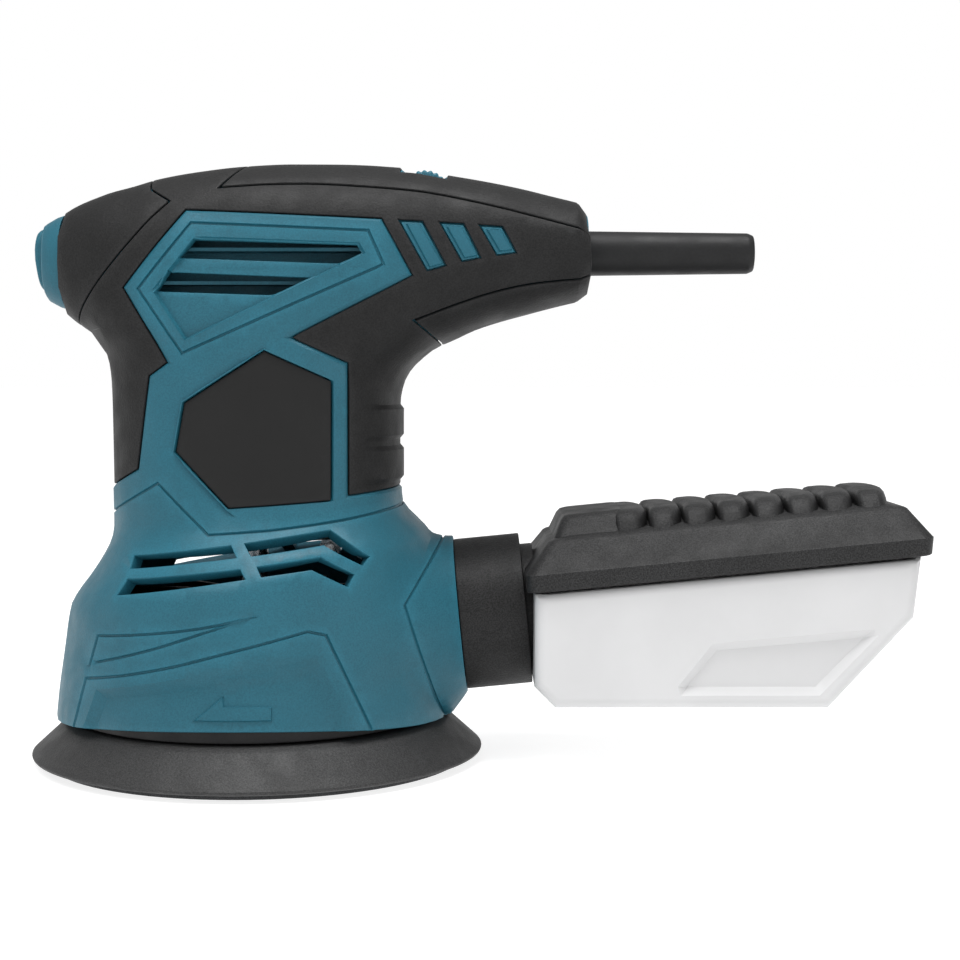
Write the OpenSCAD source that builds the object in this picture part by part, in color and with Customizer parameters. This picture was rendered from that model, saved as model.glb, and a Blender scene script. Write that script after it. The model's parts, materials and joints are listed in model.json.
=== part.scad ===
// Random orbit sander: clamshell housing with soft grips, universal motor, orbiting pad and dust box.
// Origin: motor axis where it meets the sanding face. +X runs to the rear (lead and dust box), +Z up.

/* [Pad] */
// Diameter of the sanding pad
pad_d = 125; // [122:1:126]
// Height of the pad's widest edge above the sanding face
pad_edge_z = 3.6; // [3:0.1:4.5]
// Diameter of the pad's flat top
pad_top_d = 104; // [102:1:106]
// Height of the pad's flat top
pad_top_z = 12.2; // [12:0.1:12.3]
// Thickness of the hook layer
hook_t = 1.5; // [1:0.1:2]
// Distance from the motor axis to the pad axis
orbit_r = 1.25; // [0.8:0.05:1.4]
// Number of dust holes through the pad
dust_holes = 8; // [6:1:8]
// Pitch circle diameter of the dust holes
dust_pcd = 65; // [60:1:70]
// Diameter of a dust hole
dust_hole_d = 10; // [7:0.5:10]

/* [Housing] */
// Wall of the housing where no soft skin covers it
wall = 3; // [2.6:0.1:3.2]
// Thickness of the soft skin and the inlaid panels
skin_t = 1.5; // [1.2:0.1:1.6]
// Diameter of the base at its rim
base_d = 108; // [106:1:109]
// Height of the base rim above the sanding face
rim_z = 13; // [12.8:0.1:14]
// X of the nose end of the handle
nose_x = -51; // [-52:0.5:-50]
// X of the rear end of the handle
tail_x = 93; // [91:0.5:95]

/* [Motor] */
// Radius of the motor shaft
shaft_r = 4; // [3.5:0.1:4]
// Radial clearance of a running fit
run_gap = 0.03; // [0.02:0.01:0.08]
// Radius of the armature laminations
armature_r = 14; // [13:0.1:14]
// Outer radius of the stator laminations
stator_r = 27; // [26:0.5:28]
// Radius of the commutator
commutator_r = 10; // [9.5:0.1:10]
// Radius of the fan
fan_r = 42; // [38:1:43]
// Number of fan blades
fan_blades = 11; // [7:1:13]

/* [Dust box] */
// Upward tilt of the dust port, in degrees
port_tilt = 5.5; // [5:0.1:6]
// Outer radius of the neck between the port and the box
neck_r = 21; // [20.5:0.1:21.2]
// Radius of the neck's spigot inside the port
spigot_r = 18; // [17.5:0.1:18.1]
// Half the width of the dust box
box_half = 30; // [28:0.5:31]
// Wall of the dust box
box_wall = 2; // [1.6:0.1:2.4]

/* [Lead entry] */
// Bore of the cord guard for the supply lead
lead_d = 7; // [6:0.1:7.5]
// Height of the cord guard's axis
lead_z = 140.2; // [139:0.1:141]
// X of the cord guard's free end
guard_end_x = 139; // [130:1:145]

/* [Hidden] */
$fn = 48;
eps = 0.02;
teal = "#1f5f73";
black = "#26282a";

// Body sections: the handle is lofted along X, the base and column along Z.
ring_pts = 32;
handle_n = 2.5;
column_n = 2.4;
base_top_z = 46;
base_r = base_d / 2;
// Each handle section: x, top z, bottom z, half width
handle_sections = [
    [nose_x, 150.5, 124, 16], [-47, 153, 120.5, 19], [-41, 155.5, 115.8, 23], [-31, 158.4, 110, 27],
    [-14, 162.1, 106, 30], [5, 164.1, 105, 31.5], [25, 164.3, 105, 31.5], [40, 163.7, 106, 31],
    [46, 163.4, 109.8, 30.3], [52, 162.6, 114.5, 29.5], [62, 160.3, 119, 28], [76, 157.4, 123.3, 26],
    [tail_x - 3, 153.7, 127, 24], [tail_x, 151, 128.6, 22.5]];
// Each column section: z, front x, rear x, half width
column_sections = [
    [rim_z, -base_r, base_r, base_r], [30, 2 - base_r, base_r - 2, base_r - 2],
    [43.5, 4.2 - base_r, base_r - 4.2, base_r - 4.2], [47, -48.3, 49, 48.5], [50, -46, 48, 46.5],
    [55, -42.6, 46.5, 43], [60, -39, 47, 40], [64, -37.6, 46, 38], [68, -37.5, 42.8, 36.5],
    [72, -37.5, 40.8, 35.8], [90, -37.5, 41, 35], [110, -37.8, 41.5, 34], [118, -36, 40, 32]];

// Dust port axis: a point on it and its local frame
port_x = 57.5;
port_z = 39.7;
port_wall = 3.5;
port_bore_r = spigot_r + 0.3;
box_u = 18.6;

// Heights of the motor stack
plate_z = 62.6;
low_bearing_z = 63;
stator_z = 76;
stator_h = 24;
comm_z = 106;
comm_h = 10;
top_bearing_z = 119;
fan_z = 38;

// Switch and speed dial
switch_z = 138;
boot_half_z = 7.9;
boot_half_y = 8;
pivot_x = -52;
pivot_r = 1.2;
dial_x = 48.2;
dial_z = 155.8;
dial_r = 7;

// Housing screws: x, z of each
screw_sites = [[-36, 122.5], [70, 133], [-31, 70], [33, 108], [-45, 27], [20, 57]];
screw_head_y = 17;

// ---- shared shapes ----

function ring(a, b, n) = [for (i = [0 : ring_pts - 1]) let (t = 360 * i / ring_pts)
    [a * sign(cos(t)) * pow(abs(cos(t)), 2 / n), b * sign(sin(t)) * pow(abs(sin(t)), 2 / n)]];

// A handle section's ring of points in space, drawn in by an inset
function handle_ring(s, inset) = [for (p = ring(s[3] - inset, (s[1] - s[2]) / 2 - inset, handle_n))
    [s[0], p[0], (s[1] + s[2]) / 2 + p[1]]];

// A column section's ring of points in space, drawn in by an inset
function column_ring(s, inset) = [
    for (p = ring((s[2] - s[1]) / 2 - inset, s[3] - inset, s[0] < base_top_z ? 2 : column_n))
    [(s[1] + s[2]) / 2 + p[0], p[1], s[0]]];

// The convex solid between two rings of points
module segment(low, high) {
    n = len(low);
    hull() polyhedron(concat(low, high), concat(
        [[for (i = [n - 1 : -1 : 0]) i]], [[for (i = [0 : n - 1]) n + i]],
        [for (i = [0 : n - 1]) [i, (i + 1) % n, n + (i + 1) % n, n + i]]));
}

// The outer body, or the same body drawn in by an inset
module body(inset = 0) {
    intersection() {
        for (i = [0 : len(handle_sections) - 2])
            segment(handle_ring(handle_sections[i], inset), handle_ring(handle_sections[i + 1], inset));
        translate([nose_x + inset, -50, 90]) cube([tail_x - nose_x - 2 * inset, 100, 90]);
    }
    for (i = [0 : len(column_sections) - 2])
        segment(column_ring(column_sections[i], inset), column_ring(column_sections[i + 1], inset));
}

// An outline in X and Z, extruded from the parting plane to the left side
module left_prism(depth = 70) {
    rotate([90, 0, 0]) linear_extrude(depth) children();
}

// An outline in X and Z, extruded through both sides
module full_prism() {
    translate([0, 70, 0]) left_prism(140) children();
}

// Places its children along the dust port axis, with +Z outward
module port_frame(u = 0) {
    translate([port_x, 0, port_z]) rotate([0, 90 - port_tilt, 0]) translate([0, 0, u]) children();
}

// A tube standing on z = 0
module tube(r_out, r_in, h) {
    difference() {
        cylinder(r = r_out, h = h);
        translate([0, 0, -1]) cylinder(r = r_in, h = h + 2);
    }
}

module around(count, radius) {
    for (i = [0 : count - 1]) rotate([0, 0, 360 * i / count]) translate([radius, 0, 0]) children();
}

// A deep groove ball bearing standing on z = 0
module ball_bearing(r_out, r_in, h) {
    ring_t = (r_out - r_in) * 0.27;
    tube(r_out, r_out - ring_t, h);
    tube(r_in + ring_t, r_in, h);
    around(7, (r_out + r_in) / 2) translate([0, 0, h / 2]) sphere(r = (r_out - r_in) * 0.22);
}

// A pan head screw with its axis along +Z and its head on z = 0
module screw(r, length, head_r, head_h) {
    translate([0, 0, -length]) cylinder(r = r, h = length + eps, $fn = 24);
    difference() {
        cylinder(r = head_r, h = head_h, $fn = 32);
        for (a = [0, 90]) rotate([0, 0, a])
            translate([-head_r * 0.6, -0.45, head_h * 0.45]) cube([head_r * 1.2, 0.9, head_h]);
    }
}

// ---- outlines in X and Z ----

module teal_outline() {
    polygon([[-14, 150], [37.5, 147.5], [45.5, 133], [13.5, 116.3], [28.5, 109.8], [28.7, 75],
        [70, 74.3], [70, 0], [-70, 0], [-70, 76.6], [-34.6, 76.6], [-27.6, 81.7], [-24, 106.3],
        [-18.7, 109.7], [-31, 129.5]]);
}

module label_outline() {
    polygon([[7, 113], [24.6, 105], [24.5, 73.6], [-2, 71.8], [-16.5, 86.5], [-14.4, 99.3]]);
}

module accent_outlines() {
    polygon([[42.4, 147.1], [48.2, 146.9], [54.4, 135.5], [49.6, 134]]);
    polygon([[52.8, 146.7], [59, 146.5], [63.6, 137.6], [58.4, 136.5]]);
    polygon([[63.2, 146.2], [69, 145.8], [73.1, 138.8], [67.9, 138.1]]);
}

module nose_outline() {
    polygon([[-80, 180], [-28, 180], [-24.8, 156], [-19, 152.5], [-23.6, 148], [-37.2, 132.5],
        [-45.2, 122.5], [-49, 116], [-80, 100]]);
}

module top_outline() {
    polygon([[10, 180], [0.4, 162], [-6.7, 155.7], [5, 157], [29, 156.7], [48, 155.3], [65.4, 151.7],
        [92, 145], [110, 141], [110, 180]]);
}

module finger_outline() {
    polygon([[110, 134], [92, 132.2], [74.4, 130.2], [65.4, 128], [45.8, 121], [56, 111], [58, 90],
        [110, 90]]);
}

module upper_slots() {
    polygon([[-11, 142.5], [31, 140.8], [29, 136.6], [-14.5, 138.4]]);
    polygon([[-18.5, 133.8], [19.2, 132.2], [9.2, 127.5], [-21.7, 128.6]]);
}

module lower_slots() {
    difference() {
        polygon([[-27.4, 58.8], [23, 66], [33.8, 59.1], [29.4, 52], [21.3, 56.9], [-31.1, 49.3]]);
        polygon([[-1, 70], [3, 70], [8, 48], [4, 48]]);
        polygon([[-34, 52.6], [-34, 55], [30, 63.6], [30, 61.2]]);
    }
}

// ---- openings shared by the shells and the skins ----

module nose_hole() {
    translate([nose_x - 10, -boot_half_y - 1.5, switch_z - 10]) cube([16, 2 * boot_half_y + 3, 20]);
}

module dial_hole() {
    translate([41.4, -14.9, 152]) cube([13.4, 29.8, 20]);
}

module guard_hole() {
    translate([tail_x - 10, 0, lead_z]) rotate([0, 90, 0]) cylinder(r = 6.5, h = 20);
}

// ---- housing ----

module screw_bosses() {
    for (p = screw_sites) translate([p[0], 0, p[1]]) rotate([90, 0, 0]) cylinder(r = 4, h = 60, $fn = 16);
}

// Ribs that hold the stator, the top bearing, the switch and the cord guard
module ribs() {
    for (z = [stator_z - 3, stator_z + stator_h + 1]) translate([0, 0, z]) difference() {
        translate([-45, -45, 0]) cube([90, 45, 2]);
        translate([0, 0, -1]) cylinder(r = stator_r - 1, h = 4);
    }
    difference() {
        translate([-18, -40, 118.4]) cube([36, 40, 8.4]);
        translate([0, 0, 110]) cylinder(r = 11.9, h = 20);
    }
    difference() {
        translate([83, -30, 120]) cube([2.4, 30, 40]);
        translate([80, 0, lead_z]) rotate([0, 90, 0]) cylinder(r = 6.6, h = 10);
    }
}

// The left shell without its screw holes
module half_shell() {
    difference() {
        union() {
            difference() {
                union() {
                    body(skin_t);
                    intersection() {
                        body();
                        left_prism() difference() {
                            teal_outline();
                            label_outline();
                        }
                    }
                    port_frame(-22) cylinder(r = port_bore_r + port_wall, h = 22);
                }
                body(wall);
                translate([0, 0, rim_z - 2]) cylinder(r = base_r - wall, h = 3);
            }
            intersection() {
                body(wall - 0.5);
                union() {
                    ribs();
                    screw_bosses();
                }
            }
        }
        port_frame(-30) cylinder(r = port_bore_r, h = 40, $fn = 64);
        left_prism() {
            upper_slots();
            lower_slots();
        }
        nose_hole();
        dial_hole();
        guard_hole();
        for (p = screw_sites) translate([p[0], 12, p[1]]) rotate([90, 0, 0]) cylinder(r = 1.8, h = 26, $fn = 16);
        translate([-200, 0, -10]) cube([400, 100, 250]);
    }
}

module housing_left() {
    color(teal) half_shell();
}

module housing_right() {
    color(teal) difference() {
        mirror([0, 1, 0]) half_shell();
        for (p = screw_sites) {
            translate([p[0], -1, p[1]]) rotate([-90, 0, 0]) cylinder(r = 1.8, h = 40, $fn = 16);
            translate([p[0], screw_head_y, p[1]]) rotate([-90, 0, 0]) cylinder(r = 3.4, h = 60, $fn = 24);
        }
    }
}

// The soft skin between the body and its inset, inside an outline
module skin(both = false) {
    difference() {
        intersection() {
            body();
            if (both) full_prism() children();
            else left_prism() children();
        }
        body(skin_t);
        nose_hole();
        dial_hole();
        guard_hole();
    }
}

module side_skin() {
    skin() difference() {
        translate([-60, 60]) square([170, 120]);
        teal_outline();
        nose_outline();
        top_outline();
        finger_outline();
        accent_outlines();
    }
}

module grip_left() {
    color(black) side_skin();
}

module grip_right() {
    color(black) difference() {
        mirror([0, 1, 0]) side_skin();
        for (p = screw_sites) translate([p[0], 5, p[1]]) rotate([-90, 0, 0]) cylinder(r = 3.4, h = 60, $fn = 24);
    }
}

module label_left() {
    color("#1c1d1f") skin() label_outline();
}

module label_right() {
    color("#1c1d1f") mirror([0, 1, 0]) skin() label_outline();
}

module accents_left() {
    color(teal) skin() accent_outlines();
}

module accents_right() {
    color(teal) mirror([0, 1, 0]) skin() accent_outlines();
}

module nose_collar() {
    color(black) skin(true) nose_outline();
}

module top_pad() {
    color(black) skin(true) top_outline();
}

module finger_grip() {
    color(black) skin(true) finger_outline();
}

module housing_screws() {
    color("#8d9093") for (p = screw_sites)
        translate([p[0], screw_head_y, p[1]]) rotate([-90, 0, 0]) screw(1.5, 28, 3, 2.4);
}

// ---- switch ----

// A rounded plate facing +X, half_y by half_z, centred on the switch axis
module nose_plate(x, t, half_y, half_z, r) {
    translate([x, 0, switch_z]) rotate([90, 0, 90]) linear_extrude(t) hull()
        for (sy = [-1, 1], sz = [-1, 1]) translate([sy * (half_y - r), sz * (half_z - r)]) circle(r, $fn = 24);
}

module switch_bezel() {
    color(teal) difference() {
        hull() {
            nose_plate(nose_x - 1, 0.9, 14.5, 12.2, 6);
            nose_plate(nose_x - 5.4, 0.5, 12, 10.3, 5);
        }
        nose_plate(nose_x - 6, 8, boot_half_y + 1, boot_half_z + 1.1, 3);
    }
}

module switch_boot() {
    color(teal) hull() {
        nose_plate(nose_x - 7.6, 0.3, boot_half_y - 1.4, boot_half_z - 1.4, 2);
        nose_plate(nose_x - 6.6, 3.6, boot_half_y, boot_half_z, 2.5);
    }
}

module switch_rocker() {
    color("#e8e6e0") union() {
        nose_plate(nose_x - 2.8, 3.2, 5.5, 6, 1);
        translate([nose_x + 0.4, -4, switch_z - 1.5]) cube([4, 8, 3]);
        switch_pivot(pivot_r, 16);
    }
}

// A round pin on the axis that the rocker tilts about
module switch_pivot(r, length) {
    translate([pivot_x, 0, switch_z]) rotate([90, 0, 0]) cylinder(r = r, h = length, center = true);
}

module switch_body() {
    color("#303234") difference() {
        union() {
            translate([nose_x + 2.6, -9, switch_z - 8.6]) cube([22, 18, 17.2]);
            for (y = [-8, 6]) translate([pivot_x - 1.6, y, switch_z - 1.9]) cube([5.6, 2, 3.8]);
            for (y = [-5, 5], z = [-5, 0, 5])
                translate([nose_x + 24.6, y - 1, switch_z + z - 0.3]) cube([5, 2, 0.6]);
        }
        translate([nose_x + 2, -5, switch_z - 4]) cube([6, 10, 8]);
        switch_pivot(pivot_r + run_gap, 20);
    }
}

// ---- speed dial and electrics ----

module dial_bezel() {
    color(teal) difference() {
        translate([41.6, -14.7, 158.4]) cube([13, 29.4, 2.4]);
        translate([dial_x, 6, dial_z]) rotate([90, 0, 0]) cylinder(r = dial_r + 0.5, h = 12);
    }
}

module speed_dial() {
    color(teal) translate([dial_x, 0, dial_z]) rotate([90, 0, 0]) {
        difference() {
            translate([0, 0, -4.5]) cylinder(r = dial_r, h = 9);
            around(24, dial_r) translate([0, 0, -5]) cylinder(r = 0.35, h = 10, $fn = 6);
        }
        translate([0, 0, -9]) cylinder(r = 1.5, h = 5);
    }
}

module speed_control() {
    color("#2f6b3c") translate([22, -15, 143]) cube([48, 30, 1.6]);
    color("#3b6ea5") difference() {
        translate([dial_x - 5, 5.4, 144.6]) cube([10, 5, 13]);
        translate([dial_x, 12, dial_z]) rotate([90, 0, 0]) cylinder(r = 1.5 + run_gap, h = 8);
    }
    color("#444444") translate([26, -11, 144.6]) cube([10, 8, 7]);
    color("#c9b037") translate([60, -4, 144.6]) cylinder(r = 3.4, h = 6);
}

module suppressor() {
    color("#d8c23a") translate([24, -9, 129]) cube([19, 11, 12]);
}

module cord_guard() {
    color(black) translate([0, 0, lead_z]) rotate([0, 90, 0]) rotate_extrude() polygon([
        [lead_d / 2, 80], [6.2, 80], [6.2, 85.8], [8.6, 85.8], [8.6, 89], [6.2, 89.4], [6.2, tail_x + 2],
        [5.5, guard_end_x - 1], [4.7, guard_end_x], [lead_d / 2, guard_end_x]]);
}

module cord_clamp() {
    color("#55585b") difference() {
        translate([70, -13, lead_z + lead_d / 2 + 0.3]) cube([8, 26, 3]);
        for (y = [-9.5, 9.5]) translate([74, y, lead_z]) cylinder(r = 1.7, h = 10);
    }
}

module clamp_screws() {
    color("#8d9093") for (y = [-9.5, 9.5])
        translate([74, y, lead_z + lead_d / 2 + 3.3]) screw(1.5, 10, 2.8, 2.2);
}

// ---- motor ----

module stator_core() {
    color("#9a9c9e") translate([0, 0, stator_z]) {
        tube(stator_r, 20.4, stator_h);
        for (s = [0, 180]) rotate([0, 0, s]) intersection() {
            tube(20.4, armature_r + 0.5, stator_h);
            translate([-11, 0, 0]) cube([22, 30, stator_h]);
        }
    }
}

module field_coils() {
    color("#b5651d") translate([0, 0, stator_z]) {
        for (s = [-1, 1]) intersection() {
            tube(20.2, armature_r + 1.2, stator_h);
            translate([s > 0 ? 11.2 : -31.2, -12, 0]) cube([20, 24, stator_h]);
        }
        for (z = [-4, stator_h]) translate([0, 0, z]) tube(20.2, armature_r + 1.2, 4);
    }
}

module armature_core() {
    color("#a7a9ac") translate([0, 0, stator_z]) difference() {
        tube(armature_r, shaft_r, stator_h);
        around(12, armature_r - 3) translate([0, 0, -1]) cylinder(r = 1.7, h = stator_h + 2);
        around(12, armature_r - 1) translate([-1.6, -0.5, -1]) cube([4, 1, stator_h + 2]);
    }
}

module armature_windings() {
    color("#b87333") {
        translate([0, 0, stator_z]) around(12, armature_r - 3) cylinder(r = 1.6, h = stator_h);
        translate([0, 0, stator_z - 4.5]) tube(armature_r - 1, shaft_r + 1, 4.5);
        translate([0, 0, stator_z + stator_h]) tube(armature_r - 1, shaft_r + 1, 4.5);
    }
}

module commutator() {
    color("#b87333") translate([0, 0, comm_z]) difference() {
        tube(commutator_r, shaft_r, comm_h);
        around(24, commutator_r) translate([-1, -0.2, -1]) cube([2, 0.4, comm_h + 2]);
    }
}

module motor_shaft() {
    color("#c4c7ca") {
        translate([0, 0, 16.5]) cylinder(r = shaft_r, h = top_bearing_z - 17.5);
        translate([0, 0, top_bearing_z - 1]) cylinder(r = 3, h = 7);
    }
}

module upper_bearing() {
    color("#b9bcc0") translate([0, 0, top_bearing_z]) ball_bearing(9.5, 3 + run_gap, 6);
}

module bearing_boot() {
    color("#1d1d1d") translate([0, 0, top_bearing_z - 0.4]) difference() {
        cylinder(r = 11.6, h = 8);
        translate([0, 0, -1]) cylinder(r = 9.5, h = 7.4);
    }
}

module lower_bearing() {
    color("#b9bcc0") translate([0, 0, low_bearing_z]) ball_bearing(11, shaft_r + run_gap, 7);
}

module bearing_plate() {
    color("#a9adb0") translate([0, 0, plate_z]) difference() {
        union() {
            cylinder(r = 32, h = 3);
            cylinder(r = 14, h = 7.6);
        }
        translate([0, 0, low_bearing_z - plate_z]) cylinder(r = 11, h = 10);
        translate([0, 0, -1]) cylinder(r = 8, h = 3);
        around(6, 23) translate([0, 0, -1]) cylinder(r = 6, h = 6);
    }
}

module brush_holders() {
    color("#c9a227") for (s = [0, 180]) rotate([0, 0, s]) difference() {
        translate([11.5, -4.5, comm_z + 0.5]) cube([17.5, 9, 9]);
        translate([10, -3.1, comm_z + 1.9]) cube([17.5, 6.2, 6.2]);
    }
}

module carbon_brushes() {
    color("#2c2c2e") for (s = [0, 180]) rotate([0, 0, s])
        translate([commutator_r + 0.05, -3, comm_z + 2]) cube([9.5, 6, 6]);
}

module brush_springs() {
    color("#c4c7ca") for (s = [0, 180], turn = [0 : 5]) rotate([0, 0, s])
        translate([commutator_r + 10.3 + 1.2 * turn, 0, comm_z + 5]) rotate([0, 90, 0])
            rotate_extrude($fn = 24) translate([2.2, 0]) circle(0.4, $fn = 16);
}

module fan() {
    color("#3a3c3f") difference() {
        union() {
            translate([0, 0, fan_z]) cylinder(r = fan_r, h = 2);
            translate([0, 0, 26.5]) cylinder(r = 9, h = 21);
            for (i = [0 : fan_blades - 1]) rotate([0, 0, 360 * i / fan_blades]) {
                translate([14, -0.8, 27]) cube([fan_r - 15, 1.6, 11.5]);
                translate([18, -0.8, fan_z + 1.5]) cube([fan_r - 19, 1.6, 7]);
            }
        }
        translate([0, 0, 20]) cylinder(r = shaft_r, h = 40);
    }
}

module counterweight() {
    color("#7f8386") difference() {
        union() {
            translate([0, 0, 16]) cylinder(r = 9, h = 10);
            translate([0, 0, 17]) intersection() {
                cylinder(r = 21, h = 7);
                translate([-30, -25, 0]) cube([30, 50, 7]);
            }
            translate([orbit_r, 0, 14.6]) cylinder(r = 7, h = 1.5);
            translate([orbit_r, 0, 6.4]) cylinder(r = 5, h = 9);
        }
        translate([0, 0, 16.5]) cylinder(r = shaft_r, h = 20);
        translate([orbit_r, 0, 5]) cylinder(r = 2.5, h = 9);
    }
}

module bearing_screw() {
    color("#8d9093") translate([orbit_r, 0, 0]) {
        translate([0, 0, 6.3]) cylinder(r = 2.5, h = 7.5);
        difference() {
            translate([0, 0, 2.6]) cylinder(r = 6, h = 3.8);
            translate([0, 0, 2]) cylinder(r = 2.6, h = 2.6, $fn = 6);
        }
    }
}

module dust_shroud() {
    color("#3a3c3f") difference() {
        union() {
            translate([0, 0, 21]) cylinder(r = 46, h = 2.4);
            translate([0, 0, 17]) cylinder(r = 26, h = 5);
        }
        translate([0, 0, 10]) cylinder(r = 23.5, h = 20);
        port_frame(-34) cylinder(r = port_bore_r + port_wall + 0.2, h = 40);
        around(10, 36) translate([0, 0, 20]) cylinder(r = 5, h = 5);
    }
}

module pad_brake() {
    color("#1d1d1d") translate([0, 0, 12.6]) tube(50, 46.5, 5.4);
}

// ---- pad ----

module pad_holes() {
    translate([orbit_r, 0, -1]) around(dust_holes, dust_pcd / 2) cylinder(r = dust_hole_d / 2, h = 30);
}

module pad_bearing() {
    color("#b9bcc0") translate([orbit_r, 0, 6.5]) ball_bearing(13, 5 + run_gap, 8);
}

module pad_hub() {
    color("#9fa3a6") difference() {
        translate([orbit_r, 0, 4.6]) union() {
            cylinder(r = 16.5, h = 10);
            translate([0, 0, pad_top_z - 4.6]) cylinder(r = 24, h = 2);
        }
        translate([orbit_r, 0, 6.5]) cylinder(r = 13, h = 10);
        translate([orbit_r, 0, 4]) cylinder(r = 8, h = 4);
        translate([orbit_r, 0, 10]) rotate([0, 0, 45]) around(4, 20) cylinder(r = 1.7, h = 10);
    }
}

module pad_plate() {
    color("#2f3133") difference() {
        translate([orbit_r, 0, 9]) cylinder(r = 45, h = pad_top_z - 9);
        translate([orbit_r, 0, 8]) cylinder(r = 16.5, h = 10);
        translate([orbit_r, 0, 8]) rotate([0, 0, 45]) around(4, 20) cylinder(r = 1.5, h = 10);
        pad_holes();
    }
}

module pad_foam() {
    color("#202224") difference() {
        translate([orbit_r, 0, 0]) rotate_extrude($fn = 96) polygon([
            [17, hook_t], [pad_d / 2 - 0.6, hook_t], [pad_d / 2, hook_t + 1], [pad_d / 2, pad_edge_z],
            [pad_top_d / 2, pad_top_z], [45, pad_top_z], [45, 9], [17, 9]]);
        pad_holes();
    }
}

module hook_layer() {
    color("#4a4c4f") difference() {
        translate([orbit_r, 0, 0]) tube(pad_d / 2 - 0.6, 9, hook_t);
        pad_holes();
    }
}

module pad_screws() {
    color("#8d9093") translate([orbit_r, 0, pad_top_z + 2]) rotate([0, 0, 45])
        around(4, 20) screw(1.5, 5.1, 2.8, 1.2);
}

// ---- dust box ----

// Side outline of the box in X and Z, and of its lid above the seam
module box_outline() {
    polygon([[77.8, 48.6], [180.4, 58.4], [178.6, 42.3], [156, 18], [83.4, 18], [77.8, 23.6]]);
}

module lid_outline() {
    polygon([[76, 48.9], [182.6, 59.2], [183.6, 61], [183.4, 66], [178, 71.4], [171, 73.6],
        [100, 67.4], [84, 67.4], [76, 66]]);
}

module box_slab(half, inset = 0) {
    translate([0, half, 0]) rotate([90, 0, 0]) linear_extrude(2 * half) offset(delta = -inset) children();
}

module neck_notch() {
    port_frame(box_u - 4) cylinder(r = spigot_r + 0.2, h = 12);
}

module box_body() {
    color("#eef1f2") difference() {
        box_slab(box_half) box_outline();
        intersection() {
            box_slab(box_half - box_wall, box_wall) union() {
                box_outline();
                translate([75, 45]) square([110, 30]);
            }
            translate([77.8 + box_wall, -50, 0]) cube([100.4 - box_wall, 100, 100]);
        }
        neck_notch();
    }
}

module box_neck() {
    color(black) difference() {
        union() {
            port_frame(-12) cylinder(r = spigot_r, h = 34);
            port_frame(0.3) cylinder(r = neck_r, h = box_u - 0.5);
        }
        port_frame(-13) cylinder(r = spigot_r - 2.5, h = 40);
    }
}

module box_lid() {
    color(black) difference() {
        union() {
            intersection() {
                box_slab(box_half + 1.2) lid_outline();
                lid_bevel();
            }
            lid_ribs();
        }
        intersection() {
            box_slab(box_half - box_wall, box_wall) union() {
                lid_outline();
                translate([78, 40]) square([103, 20]);
            }
            translate([76 + box_wall + 2, -50, 0]) cube([102, 100, 100]);
        }
        neck_notch();
    }
}

// A wedge-sided block that bevels the lid's long top edges
module lid_bevel() {
    port_frame(0) rotate([0, 0, 90]) linear_extrude(140)
        polygon([[-40, 0], [40, 0], [40, 12.4], [24, 21], [17, 26.5], [-17, 26.5], [-24, 21], [-40, 12.4]]);
}

module lid_ribs() {
    for (i = [0 : 7]) port_frame(44 + 9.4 * i) rotate([0, 0, 90])
        translate([0, 23, 0]) intersection() {
            translate([-15, -3, 0]) cube([30, 8, 7.4]);
            translate([0, -3.2, 3.7]) rotate([0, 90, 0]) cylinder(r = 6.4, h = 30, center = true);
        }
}

module filter_frame() {
    color("#3a3c3f") port_frame(box_u + 12) rotate([0, 0, 90]) difference() {
        translate([-26, 9, 0]) cube([52, 4, 82]);
        translate([-22, 8, 4]) cube([44, 6, 74]);
    }
}

module filter_element() {
    color("#e9e4d8") port_frame(box_u + 12) rotate([0, 0, 90])
        translate([-22, 9.6, 4]) for (i = [0 : 9]) translate([4.4 * i, 0, 0]) {
            translate([0.05, 0, 0]) cube([2.1, 1, 74]);
            translate([1.2, 0, 0]) cube([1, 3, 74]);
            translate([2.1, 2, 0]) cube([2.1, 1, 74]);
            translate([3.2, 0, 0]) cube([1, 3, 74]);
        }
}

housing_left();
housing_right();
grip_left();
grip_right();
label_left();
label_right();
accents_left();
accents_right();
nose_collar();
top_pad();
finger_grip();
switch_bezel();
switch_body();
dial_bezel();
speed_control();
suppressor();
cord_guard();
cord_clamp();
clamp_screws();
housing_screws();
stator_core();
field_coils();
brush_holders();
carbon_brushes();
brush_springs();
upper_bearing();
bearing_boot();
bearing_plate();
lower_bearing();
dust_shroud();
pad_brake();
motor_shaft();
armature_core();
armature_windings();
commutator();
fan();
counterweight();
bearing_screw();
pad_bearing();
pad_hub();
pad_plate();
pad_foam();
hook_layer();
pad_screws();
switch_boot();
switch_rocker();
speed_dial();
box_body();
box_neck();
box_lid();
filter_frame();
filter_element();
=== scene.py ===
"""Looks for a random orbit sander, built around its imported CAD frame. Lengths are in millimetres
until a mesh is made. The left side of the sander is -Y, the nose is -X."""
import json
from contextlib import contextmanager
from math import ceil, cos, pi, radians, sin

import bmesh
import bpy
import numpy as np
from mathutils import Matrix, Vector
from mathutils.geometry import delaunay_2d_cdt


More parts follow.
